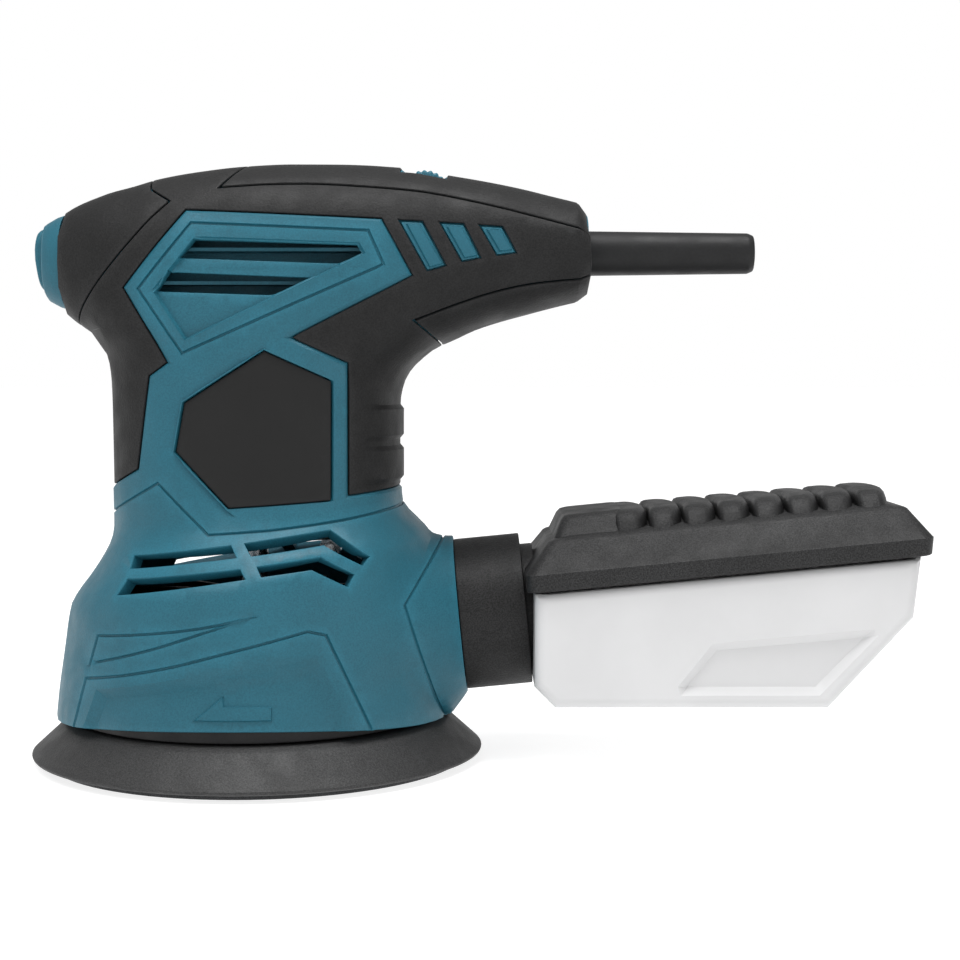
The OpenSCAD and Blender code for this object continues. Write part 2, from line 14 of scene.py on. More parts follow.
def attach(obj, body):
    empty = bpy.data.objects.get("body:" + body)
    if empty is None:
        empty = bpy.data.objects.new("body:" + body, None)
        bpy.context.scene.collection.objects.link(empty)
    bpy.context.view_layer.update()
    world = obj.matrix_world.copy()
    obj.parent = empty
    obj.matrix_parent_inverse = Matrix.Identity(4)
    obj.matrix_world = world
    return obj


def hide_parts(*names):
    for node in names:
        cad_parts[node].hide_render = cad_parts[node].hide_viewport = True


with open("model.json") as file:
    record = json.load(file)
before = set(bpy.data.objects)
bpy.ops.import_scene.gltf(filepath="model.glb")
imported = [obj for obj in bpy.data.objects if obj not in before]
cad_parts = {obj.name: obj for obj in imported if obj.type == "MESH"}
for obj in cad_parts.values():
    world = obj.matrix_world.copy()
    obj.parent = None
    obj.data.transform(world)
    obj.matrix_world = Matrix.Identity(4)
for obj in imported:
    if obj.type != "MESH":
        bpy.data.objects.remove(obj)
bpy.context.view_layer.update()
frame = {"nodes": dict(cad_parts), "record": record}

MM = 0.001
GAP = 0.16          # half of the gap between two neighbouring pieces
STEEP = 0.03        # width of the step in the housing under such a gap
EDGE = 0.35         # rounding of a moulded edge
SKIN = 1.5          # thickness of the soft skin
WALL = 3.2          # thickness of the housing
STEP = 2.4          # spacing of points along an outline
GRID = 3.0          # spacing of points inside an outline
PROBE = 0.04        # distance over which the body's slope is measured

# ---- driving sizes, as in the CAD ----

NOSE_X, TAIL_X = -50.3, 93.0
HANDLE_FRONT = -61.0    # the handle's surface ends here, inside the switch
COLUMN_TOP = 150.0      # and the column's here, inside the handle
BASE_R = 54.0
TILT = radians(5.5)
PORT = (57.5, 39.7)
PORT_R = 21.8
# The cone from the base to the port's ring: its length, its spread to each side and the length
# that the spread goes on for, and where it starts to fade into the base
CONE_LENGTH, CONE_SPREAD, CONE_STRAIGHT, CONE_FADE = 40, 0.74, 27, 24
LEAD_Z = 140.2
NOSE_Z, SWITCH_Z = 137.6, 138.0
DIAL = (48.2, 155.8)
DIAL_X = (41.4, 54.8)   # ends of the dial's trough
DIAL_HALF = 16.0
SCREWS = [(-36, 122.5), (70, 133), (-31, 70), (33, 108), (-45, 27), (20, 57)]
SCREW_R = 3.4           # radius of a screw's recess

# Handle: x, top z, bottom z, half width
HANDLE = [(-62, 142, 132, 8), (-56, 147.6, 127.5, 12.5), (-51, 150.8, 123.5, 16.2),
    (-47.6, 152.8, 120.7, 18.8), (-44, 154.4, 118.3, 21.2), (-41, 155.5, 115.9, 23),
    (-37.6, 156.7, 113, 24.8), (-31, 158.4, 109.5, 27), (-24, 160.4, 107, 28.8),
    (-14, 162.2, 105.5, 30.2), (-1, 163.7, 105, 31.2), (12, 164.3, 105, 31.6), (25, 164.25, 105, 31.5),
    (33, 164, 105.3, 31.2), (39, 163.6, 106, 30.8), (43, 163.3, 107.6, 30.5), (46, 163, 110, 30.2),
    (49, 162.4, 112.7, 29.8), (52, 161.8, 114.5, 29.4), (56, 161.1, 116.2, 28.8), (62, 160.1, 119, 28),
    (69, 158.8, 121.3, 27), (76, 157.3, 123.2, 26), (82, 155.8, 124.8, 25), (89, 154.1, 126.5, 24),
    (100, 151.2, 128.7, 22)]
# Column and base: height over a shoulder that rises to the rear, front x, rear x, half width, exponent
COLUMN = [*((z, -r, r, r, 2) for z, r in ((6, 54.6), (12, 54.2), (20, 53.4), (32, 51.7))),
    (41.5, -50.3, 50.3, 50.2, 2), (43.5, -49.8, 49.9, 49.7, 2), (46, -48.3, 49.4, 48.2, 2.03),
    (51, -44, 48.2, 44.2, 2.1), (55.9, -40.4, 46.6, 40.8, 2.18), (58.5, -38.9, 45.8, 39.2, 2.22),
    (61.5, -38, 44.9, 37.8, 2.27), (65, -37.7, 43.5, 37, 2.3), (69, -37.7, 42.2, 36.4, 2.35),
    *((*row, 2.4) for row in (
        (72, -37.7, 41.3, 36), (78, -37.8, 41, 35.4), (95, -38, 41, 34.6), (100, -38.1, 41.2, 34.4),
        (105, -38.3, 42.4, 34), (108, -38.6, 44.1, 33.8), (110.7, -39.1, 46.6, 33.4),
        (113.5, -40.1, 49.6, 33), (116, -41.4, 51, 32.3), (120, -43.6, 52, 31.5), (130, -42, 53, 28),
        (140, -42, 53, 22), (150, -42, 53, 13), (160, -42, 53, 3)))]
SHOULDER_RISE = 0.173   # rise of the shoulder per millimetre towards the rear
SHOULDER_X = -50.0      # where the rise starts
HANDLE_N = 2.5
PORT_BLEND = 2.5    # width of the soft join between the base and the port


# ---- small geometry tools ----

def smooth_curve(rows):
    """A monotone cubic through rows of (t, values...), as a function of t."""
    t = np.array([row[0] for row in rows], float)
    v = np.array([row[1:] for row in rows], float)
    h = np.diff(t)[:, None]
    d = np.diff(v, axis=0) / h
    m = np.vstack([d[:1], np.zeros_like(d[1:]), d[-1:]])
    same = d[1:] * d[:-1] > 0
    weight = 3 * (h[1:] + h[:-1])
    with np.errstate(divide="ignore", invalid="ignore"):
        mean = weight / ((2 * h[1:] + h[:-1]) / d[:-1] + (2 * h[:-1] + h[1:]) / d[1:])
    m[1:-1] = np.where(same, mean, 0)

    def at(x):
        x = np.clip(np.asarray(x, float), t[0], t[-1])
        i = np.clip(np.searchsorted(t, x) - 1, 0, len(h) - 1)
        s = ((x - t[i]) / h[i, 0])[..., None]
        span = h[i]
        return ((1 + 2 * s) * (1 - s) ** 2 * v[i] + s * (1 - s) ** 2 * span * m[i]
                + s * s * (3 - 2 * s) * v[i + 1] + s * s * (s - 1) * span * m[i + 1])
    return at


def ramp(x, low, high):
    """0 below low, 1 above high, straight between."""
    return np.clip((x - low) / (high - low), 0, 1)


def smooth_ramp(x, low, high):
    s = ramp(x, low, high)
    return s * s * (3 - 2 * s)


def signed_power(a, p):
    return np.sign(a) * np.abs(a) ** p


def unit(vectors):
    return vectors / np.maximum(np.linalg.norm(vectors, axis=1), 1e-9)[:, None]


def resample(points, closed=False, step=STEP, model=None):
    """The line with extra points, so that none are further apart than step on it, or on a model of it."""
    points = np.array(points, float)
    model = points if model is None else model
    out = []
    for i in range(len(points) if closed else len(points) - 1):
        after = (i + 1) % len(points)
        n = max(1, ceil(np.linalg.norm(model[after] - model[i]) / step))
        out += [points[i] + (points[after] - points[i]) * k / n for k in range(n)]
    return np.array(out if closed else out + [points[-1]])


def offset(points, distance, closed=True):
    """The line moved sideways: for a closed line, a positive distance moves it inward."""
    p = np.array(points, float)
    if closed:
        x, z = p[:, 0], p[:, 1]
        area = np.sum(x * np.roll(z, -1) - np.roll(x, -1) * z)
        before, after = np.roll(p, 1, 0), np.roll(p, -1, 0)
        turn = 1 if area > 0 else -1
    else:
        before = np.vstack([2 * p[0] - p[1], p[:-1]])
        after = np.vstack([p[1:], 2 * p[-1] - p[-2]])
        turn = 1
    a, b = unit(p - before), unit(after - p)
    normal = unit(np.stack([-(a + b)[:, 1], (a + b)[:, 0]], 1))
    cosine = np.clip(normal[:, 0] * -a[:, 1] + normal[:, 1] * a[:, 0], 0.35, 1)
    return p + turn * distance * normal / cosine[:, None]


def inside(points, polygon):
    """Which points lie inside a polygon."""
    x, z = points[:, 0], points[:, 1]
    hit = np.zeros(len(points), bool)
    p = np.asarray(polygon, float)
    for (x1, z1), (x2, z2) in zip(p, np.roll(p, -1, 0)):
        if z1 != z2:
            crosses = (z1 > z) != (z2 > z)
            hit ^= crosses & (x < (x2 - x1) * (z - z1) / (z2 - z1) + x1)
    return hit


def distance_to(points, line, closed=True):
    """Distance from each point to a line of segments."""
    best = np.full(len(points), 1e9)
    line = np.asarray(line, float)
    ends = np.roll(line, -1, 0) if closed else line[1:]
    for a, b in zip(line, ends):
        d = b - a
        t = np.clip(((points - a) @ d) / max(d @ d, 1e-12), 0, 1)
        best = np.minimum(best, np.hypot(*(points - a - t[:, None] * d).T))
    return best


def depth_inside(points, polygon):
    """Distance to a polygon's edge, positive inside it."""
    return np.where(inside(points, polygon), 1, -1) * distance_to(points, polygon)


# ---- the body's surface: half width and normal at each (x, z) ----

handle_at = smooth_curve(HANDLE)
column_at = smooth_curve(COLUMN)
PORT_U = np.array([cos(TILT), sin(TILT)])
PORT_W = np.array([-sin(TILT), cos(TILT)])


def port_point(u, y, w):
    """A point in the dust port's frame: u along it, w up across it."""
    x, z = np.array(PORT) + u * PORT_U + w * PORT_W
    return (x, y, z)


def bulge(t, low, high, half, power):
    """The half width squared of a superellipse that reaches from low to high, at t."""
    u = np.abs(t - (low + high) / 2) / ((high - low) / 2)
    return half ** 2 * signed_power(1 - u ** power, 2 / power)


def square_width(p):
    """The half width squared, negative outside the body's side outline."""
    x, z = p[:, 0], p[:, 1]
    top, bottom, half = handle_at(x).T
    handle = np.where(x < HANDLE_FRONT, -1, bulge(z, bottom, top, half, HANDLE_N))
    rise = SHOULDER_RISE * (x - SHOULDER_X) * (smooth_ramp(z, 20, 50) - smooth_ramp(z, 60, 72))
    column = np.where(z < COLUMN_TOP, bulge(x, *column_at(z - rise).T), -1)
    body = union(handle, column, 4)
    # the port: a cone that leaves the base's sides and ends in a round ring
    local = p - np.array(PORT)
    along, across = local @ PORT_U, local @ PORT_W
    back = np.clip(-along, 0, CONE_LENGTH)
    reach = PORT_R + np.where(across > 0, 0.046 * np.minimum(back, 12) ** 2, 1.1 * np.minimum(back, 5))
    half = PORT_R + CONE_SPREAD * np.minimum(back, CONE_STRAIGHT)
    half *= 1 - smooth_ramp(back, CONE_FADE, CONE_LENGTH)
    port = half ** 2 * (1 - (across / reach) ** 2)
    port = np.where(back < CONE_LENGTH - 1, port, -1)
    a, b = signed_power(body, 0.5), signed_power(port, 0.5)
    meet = np.maximum(PORT_BLEND - np.abs(a - b), 0) / PORT_BLEND
    return signed_power(np.maximum(a, b) + meet ** 2 * PORT_BLEND / 4, 2)


def union(a, b, power):
    """Two squared half widths as one, softened where they meet."""
    both = (np.maximum(a, 0) ** power + np.maximum(b, 0) ** power) ** (1 / power)
    return np.where((a > 0) | (b > 0), both, np.maximum(a, b))


def width_change(p):
    """How the squared half width changes over twice PROBE, along x and along z."""
    return [square_width(p + step) - square_width(p - step) for step in np.array([[PROBE, 0], [0, PROBE]])]


def surface(p):
    """Half width and outward unit normal (for the -Y side) at each (x, z)."""
    y = np.sqrt(np.maximum(square_width(p), 0))
    along_x, along_z = width_change(p)
    n = np.stack([-along_x / (2 * PROBE), -2 * y, -along_z / (2 * PROBE)], 1)
    return y, unit(n)


def edge_between(start, end, half=0.0):
    """Where the body's half width falls to half, from start, inside, to end, outside."""
    a, b = start, end
    for _ in range(40):
        middle = (a + b) / 2
        within = (square_width(middle) > half ** 2)[:, None]
        a, b = np.where(within, middle, a), np.where(within, b, middle)
    return a


def across(x, z_from, z_to, half=0.0):
    return edge_between(np.stack([x, x * 0 + z_from], 1), np.stack([x, x * 0 + z_to], 1), half)


def level(z, x_from, x_to):
    return edge_between(np.stack([z * 0 + x_from, z], 1), np.stack([z * 0 + x_to, z], 1))


def steps(low, high, step=STEP):
    """Evenly spaced values from low to high, step apart at most."""
    return np.linspace(low, high, max(2, ceil(abs(high - low) / step) + 1))


def rim_z(x):
    """The arched lower edge of the base."""
    return 12.6 + 4 * (1 - (np.asarray(x) / BASE_R) ** 2)


def body_outline():
    """The body's side outline, anticlockwise from the nose's lower corner, and the runs of it where the
    two halves meet. A run is found between a line inside the body and one outside it."""
    nose_low = across(steps(NOSE_X, -43.5), 138, 90)
    front = level(steps(112, rim_z(-54) + 1), 0, -70)
    x = np.linspace(-53.9, 53.6, 44)
    rim = np.stack([x, rim_z(x)], 1)
    low, high = port_point(0, 0, -PORT_R), port_point(0, 0, PORT_R)
    port_low = across(steps(55.0, low[0] - 0.8, 1.2), 30, 0)
    port_face = resample([(low[0], low[2]), (high[0], high[2])])
    port_top = across(steps(high[0] - 0.9, 46.5, 1.2), 50, 80)
    rear = level(steps(port_top[-1][1] + 1, 107.5), 0, 70)
    handle_low = across(steps(45.2, TAIL_X), 140, 90)
    top = across(steps(TAIL_X, NOSE_X), 138, 180)
    runs = [nose_low, front, rim, port_low, port_face, port_top, rear, handle_low, top]
    return np.vstack(runs), [nose_low, front, port_low, port_top, rear, handle_low, top]


# ---- a map of lines in a plane, triangulated so that every line is a row of mesh edges ----

class LineMap:
    """Lines and loose points, and the triangles between them."""

    def __init__(self):
        self.points = []
        self.edges = []

    def line(self, points, closed=True, step=STEP):
        points = resample(points, closed, step)
        first = len(self.points)
        n = len(points)
        self.points += [tuple(p) for p in points]
        self.edges += [(first + i, first + (i + 1) % n) for i in range(n if closed else n - 1)]

    def beside(self, points, *distances, closed=True):
        for d in distances:
            self.line(offset(points, d, closed), closed)

    def grid(self, outline, spacing=GRID, clear=0.9, lines=(), margin=0.0):
        """Evenly spaced points inside an outline, a margin away from some lines and clear of all points."""
        outline = np.asarray(outline)
        low, high = outline.min(0), outline.max(0)
        rows = np.arange(low[1], high[1], spacing * 0.87)
        points = np.array([(x + (i % 2) * spacing / 2, z) for i, z in enumerate(rows)
                           for x in np.arange(low[0], high[0], spacing)])
        points = points[inside(points, outline)]
        for line in lines:
            points = points[distance_to(points, line, closed=False) > margin]
        taken = np.array(self.points)
        for block in np.array_split(points, max(1, len(points) // 400)):
            near = np.linalg.norm(block[:, None] - taken[None], axis=2).min(1)
            self.points += [tuple(p) for p in block[near > clear]]

    def triangles(self):
        out = delaunay_2d_cdt([Vector(p) for p in self.points], self.edges, [], 0, 1e-5, False)
        points = np.array([tuple(p) for p in out[0]], float)
        triangles = np.array([f for f in out[2] if len(f) == 3], int)
        a, b, c = (points[triangles[:, i]] for i in range(3))
        area = (b[:, 0] - a[:, 0]) * (c[:, 1] - a[:, 1]) - (b[:, 1] - a[:, 1]) * (c[:, 0] - a[:, 0])
        triangles[area < 0] = triangles[area < 0][:, ::-1]
        return points, triangles[np.abs(area) > 1e-3]


# ---- meshes ----

def add_object(name, data):
    """An object in the scene, from a mesh, a light or a camera."""
    thing = bpy.data.objects.new(name, data)
    bpy.context.scene.collection.objects.link(thing)
    return thing


@contextmanager
def edited(mesh):
    """A mesh opened for editing and written back."""
    work = bmesh.new()
    work.from_mesh(mesh)
    yield work
    work.to_mesh(mesh)
    work.free()


def new_mesh(name, vertices, faces, wear_and_shade):
    """A mesh from points in millimetres, with the wear that its material shows, and on the clear bin the
    painted shade of its narrow faces.
    """
    mesh = bpy.data.meshes.new(name)
    mesh.from_pydata((np.asarray(vertices, float) * MM).tolist(), [], [list(map(int, f)) for f in faces])
    layer = mesh.attributes.new("wear_and_shade", "FLOAT", "POINT")
    layer.data.foreach_set("value", np.asarray(wear_and_shade, np.float32))
    return mesh


def shade(work, sharp):
    """Smooth, but for the edges that turn by sharp degrees or more."""
    for face in work.faces:
        face.smooth = True
    for edge in work.edges:
        if len(edge.link_faces) == 2:
            edge.smooth = edge.calc_face_angle(0) < radians(sharp)


def make_object(name, vertices, faces, wear_and_shade, sharp=30):
    """A finished object from (vertices, faces, wear)."""
    mesh = new_mesh(name, vertices, faces, wear_and_shade)
    mesh.validate()
    with edited(mesh) as work:
        bmesh.ops.dissolve_degenerate(work, edges=work.edges, dist=1e-8)
        shade(work, sharp)
    return add_object(name, mesh)


def boundary_edges(triangles):
    """Directed edges that only one triangle uses."""
    edges = np.vstack([triangles[:, [0, 1]], triangles[:, [1, 2]], triangles[:, [2, 0]]])
    size = int(edges.max()) + 1
    return edges[~np.isin(edges @ [size, 1], edges @ [1, size])]


def shell(outer, inner, normals, triangles, weld=None, edge=EDGE, wear_extra=None):
    """A closed solid between two surfaces over the same triangles, with rounded outer edges, as
    (vertices, faces, wear). weld marks vertices on the parting plane, where a mirrored half joins
    and no wall is made."""
    used = np.unique(triangles)
    index = np.full(int(used.max()) + 1, -1)
    index[used] = np.arange(len(used))
    tri = index[triangles]
    outer, inner, normals = outer[used], inner[used], normals[used]
    n = len(used)
    border = boundary_edges(tri)
    if weld is not None:
        on_seam = weld[used]
        border = border[~(on_seam[border[:, 0]] & on_seam[border[:, 1]])]
    # outward direction, across the surface, at every border vertex
    along = unit(outer[border[:, 1]] - outer[border[:, 0]])
    away = np.zeros((n, 3))
    for end in (0, 1):
        np.add.at(away, border[:, end], np.cross(along, normals[border[:, end]]))
    length = np.linalg.norm(away, axis=1)
    away *= np.where(length > 1e-6, 2 / np.maximum(length ** 2, 1.2), 0)[:, None]
    if weld is not None:
        away[on_seam] *= [1, 0, 1]
    ids = np.unique(border)
    turned = [(outer + edge * (sin(a) * away - (1 - cos(a)) * normals))[ids]
              for a in (radians(40), radians(90))]
    vertices = np.vstack([outer, *turned, inner])
    # each vertex's number on the outer face, on the two rounded rows and on the inner face
    row = np.full(n, -1)
    row[ids] = np.arange(len(ids))
    first_inner = n + 2 * len(ids)
    numbers = [np.arange(n), n + row, n + len(ids) + row, first_inner + np.arange(n)]
    a, b = border.T
    walls = [np.stack([up[b], up[a], down[a], down[b]], 1) for up, down in zip(numbers, numbers[1:])]
    wear_and_shade = np.zeros(len(vertices))
    wear_and_shade[ids] = 0.8
    wear_and_shade[n:first_inner] = 1
    if wear_extra is not None:
        wear_and_shade[:n] = np.maximum(wear_and_shade[:n], wear_extra[used])
    return vertices, [*tri.tolist(), *(first_inner + tri[:, ::-1]).tolist(), *np.vstack(walls).tolist()], wear_and_shade


def mirrored(vertices, faces):
    """The same solid on the other side of the parting plane."""
    return np.asarray(vertices) * [1, -1, 1], [list(f)[::-1] for f in faces]


def joined(vertices, faces, wear_and_shade):
    """A half and its mirror image, welded where they meet on the parting plane."""
    v, f = mirrored(vertices, faces)
    n = len(vertices)
    on_plane = np.abs(vertices[:, 1]) < 1e-6
    number = np.where(on_plane, np.arange(n), n + np.arange(n))
    f = [[int(number[i]) for i in face] for face in f]
    return np.vstack([vertices, v]), [*map(list, faces), *f], np.concatenate([wear_and_shade, wear_and_shade])


def band(a, b, n):
    """Faces between two rings of n vertices, numbered from a and from b."""
    return [[a + j, a + (j + 1) % n, b + (j + 1) % n, b + j] for j in range(n)]


def loft(name, rings, closed=False, sharp=32, wear_rings=()):
    """A skin over rings of points, capped at both ends or closed on itself."""
    n = len(rings[0])
    vertices = np.vstack([np.asarray(r, float) for r in rings])
    faces = []
    for i in range(len(rings) if closed else len(rings) - 1):
        faces += band(i * n, (i + 1) % len(rings) * n, n)
    if not closed:
        faces += [list(range(n))[::-1], [(len(rings) - 1) * n + j for j in range(n)]]
    wear_and_shade = np.zeros(len(vertices))
    for i in wear_rings:
        wear_and_shade[i * n:(i + 1) * n] = 1
    return make_object(name, vertices, faces, wear_and_shade, sharp)


def fix_normals(piece):
    with edited(piece.data) as work:
        bmesh.ops.recalc_face_normals(work, faces=work.faces)
    return piece


def circle(center, radius, turns=24):
    return [(center[0] + radius * cos(2 * pi * k / turns),
             center[1] + radius * sin(2 * pi * k / turns)) for k in range(turns)]


def squarish(bend, turns):
    """A unit ring of (a, b) points: the bend is 1 for a circle and less for squarer corners."""
    return [(signed_power(a, bend), signed_power(b, bend)) for a, b in circle((0, 0), 1, turns)]


def rounded_rectangle(half_a, half_b, radius, turn=6):
    """Corners rounded, anticlockwise, as (a, b) points."""
    points = []
    for i, (side_a, side_b) in enumerate([(1, 1), (-1, 1), (-1, -1), (1, -1)]):
        for k in range(turn + 1):
            t = radians(90 * i + 90 * k / turn)
            points.append((side_a * (half_a - radius) + radius * cos(t),
                           side_b * (half_b - radius) + radius * sin(t)))
    return points


def revolve(name, profile, place_point, turns=96, wear_rings=()):
    """A closed (radius, height) profile turned: place_point takes a radius, an angle and a height."""
    rings = [[place_point(r, 2 * pi * k / turns, h) for k in range(turns)] for r, h in profile]
    return fix_normals(loft(name, rings, closed=True, wear_rings=wear_rings))


def upright(center_x=0.0):
    return lambda r, a, h: (center_x + r * cos(a), r * sin(a), h)


def along_port(r, a, h):
    return port_point(h, r * cos(a), r * sin(a))


def along_lead(r, a, h):
    return (h, r * cos(a), LEAD_Z + r * sin(a))


def rounded(profile, radius=0.4, turn=3):
    """A closed (radius, height) profile with its corners rounded."""
    p = np.array(profile, float)
    out = []
    for before, here, after in zip(np.roll(p, 1, 0), p, np.roll(p, -1, 0)):
        a, b = before - here, after - here
        la, lb = np.linalg.norm(a), np.linalg.norm(b)
        r = min(radius, la * 0.45, lb * 0.45)
        start, end = here + a / la * r, here + b / lb * r
        for t in np.linspace(0, 1, turn + 1):
            out.append((1 - t) ** 2 * start + 2 * t * (1 - t) * here + t * t * end)
    return np.array(out)


# ---- outlines on the body's side, as (x, z) ----

def curve(points, turns=4):
    """A smooth line through points."""
    p = np.array([points[0], *points, points[-1]], float)
    out = []
    for a, b, c, d in zip(p[:-3], p[1:-2], p[2:-1], p[3:]):
        for k in range(turns):
            t = k / turns
            out.append(0.5 * (2 * b + (c - a) * t + (2 * a - 5 * b + 4 * c - d) * t * t
                              + (3 * b - a - 3 * c + d) * t ** 3))
    return [*map(tuple, out), tuple(points[-1])]


TEAL = [(-14.1, 150.1), (37.5, 147.6), (45.6, 132.7), (13.8, 116.4), (28.6, 109.7), (28.6, 74.8),
    (46, 76.6), (80, 79), (80, 0), (-80, 0), (-80, 62), (-46, 72.2), (-38, 76.2), (-27.5, 81.7),
    (-24, 106.4), (-18.8, 109.9), (-30.8, 129.6)]
LABEL = [(7, 113), (24.6, 105), (24.5, 73.6), (-2.3, 71.8), (-16.7, 86.5), (-14.3, 99.4)]
LABEL_BEVEL = [(7.2, 113.7), (5.2, 116.3), (-20.2, 103.2), (-22, 86), (-5.2, 67.8), (-2.6, 71.2),
    (-17.3, 86.4), (-14.9, 99.8)]
ACCENTS = [[(42.1, 147.2), (48.2, 146.95), (54.4, 135.3), (49.5, 133.9)], [(52.8, 146.7), (59, 146.4),
    (63.5, 137.4), (58.6, 136.4)], [(63.2, 146.1), (69.2, 145.75), (72.9, 138.8), (67.8, 138.1)]]
ACCENT_PLATES = [[(43.9, 146.3), (47.6, 146.2), (53.6, 135.7), (50.1, 134.7)], [(54.4, 145.7),
    (58.6, 145.5), (62.8, 137.9), (59.2, 137.2)], [(65, 144.9), (68.8, 144.8), (71.8, 139.5),
    (68.5, 139)]]
NOSE = [(-80, 180), (-30, 180), (-26.4, 161), (-24.6, 156.2), (-18.7, 152.6), *curve([(-23.6, 147.9),
    (-30.5, 140.2), (-37.2, 132.5), (-41.2, 127.6), (-45.2, 122.3), (-48.4, 116.5)]), (-52, 108),
    (-80, 100)]
TOP = [(4, 180), (1.4, 165), (-5.8, 156.3), *curve([(5.2, 157), (17.1, 157.2), (29, 156.7), (48, 155.1),
    (65.4, 151.7), (78.5, 148.5), (92, 145)]), (110, 140.4), (110, 180)]
FINGER = [(110, 133.6), *curve([(92.1, 132.2), (83, 131.4), (74.4, 130.2), (65.4, 128), (56, 124.8),
    (45.9, 120.9)]), (53, 114.8), (57, 110), (58, 90), (110, 90)]

UPPER_SLOTS = [[(-11.6, 142.2), (31.2, 140.6), (32.4, 138.5), (26.9, 135.8), (-15.4, 137.4)],
    [(-18.3, 133.7), (19.4, 132.2), (9.6, 127.5), (-21.7, 128.6)]]
LOWER_SLOTS = [[(-27.7, 59), (-0.9, 62.5), (0.8, 59.8), (-28.3, 55.9)], [(-28.7, 53.2), (2.1, 56.9),
    (3.5, 54.7), (-30.9, 49.4)], [(2.6, 63), (24.1, 66), (34.3, 59.2), (32.9, 57.1), (22.9, 62.7),
    (4.6, 60.2)], [(6.4, 57.5), (22.2, 59.7), (30.6, 55), (29.2, 52), (20.2, 56.8), (7.6, 55.3)]]
FRAME_RECESS = [(-11, 142.8), (31.9, 141.1), (33.4, 138.3), (-13.9, 115.6), (-22.6, 128.8)]
BASE_RECESS = [(-42, 11), (-40, 15.9), (-36.5, 24.8), (-5.5, 31.1), (21.8, 34.8), (30.7, 15.4),
    (32.5, 11)]
BASE_RECESS_FLOOR = [(-39.2, 11), (-37.6, 16.2), (-34.9, 22.6), (-4.1, 27.8), (20.7, 30.6), (26.9, 16),
    (29, 11)]
BASE_RECESS_DEPTH = 2.0
ARROW = [(-9.1, 19.3), (-2.2, 24.8), (-1.9, 22.5), (10.4, 22.3), (10.4, 19.3)]
GROOVE_DEPTH = 0.6
# Grooves: line, closed, half width
GROOVES = [
    ([(-12.4, 146.4), (34.1, 144.3), (38.1, 135.5), (-14.6, 112.3), (-26.4, 129.3)], True, 0.42),
    ([(-46, 64.5), (-38, 68.7), (-21.3, 78.2), (-7.4, 64.9),
      *curve([(9, 66.1), (27, 68.4), (41, 70.9), (50, 72.5)])], False, 0.42),
    ([(-39, 30.4), (-36.5, 38.5), *curve([(-22, 40.3), (-7.5, 42.4), (6.4, 45.4)]),
      *curve([(-7.5, 41), (-20.6, 36.5), (-37, 31.6)])], False, 0.4),
    ([(-45, 11), (-43.5, 15.3), (-40.1, 27), *curve([(-28.4, 29.3), (-15, 32.4), (-2, 35.9), (19.3, 41.3)]),
      (23.8, 40.1), (35.6, 13.4), (37, 10)], False, 0.42),
    ([(55, 66), (53.2, 61.7), (43.3, 45.8), (53.7, 11.8), (54.4, 9)], False, 0.42)]
RIDGE_BANDS = [(90.2, 97.3), (78.6, 86.2)]     # raised finger ridges at the column's rear: low z, high z
RIDGE_SLOPE = 1.2
PLATE_SLOPE = 0.3
# Polygon, depth, width of its slope: negative where the slope lies outside
RECESSES = ((FRAME_RECESS, 1.5, 0.5), (ARROW, -0.6, -0.35))
EDGE_ROWS = (0.05, 0.25, 0.6, 1.2, 2.0, 3.2, 5.0, 7.5)
RAISE = 0.3         # how far the teal stands proud of the skins
BEVEL = 0.8         # width of the teal's bevelled border
LABEL_SINK = 0.8    # depth of the label's bed
END_TURN = 3.4      # length over which the tail's end turns in


def dial_notch():
    """Where the dial's trough cuts the top: out to where the body is DIAL_HALF wide."""
    low = across(np.linspace(*DIAL_X, 8), 150, 170, DIAL_HALF)
    return [*map(tuple, low), (DIAL_X[1], 175), (DIAL_X[0], 175)]


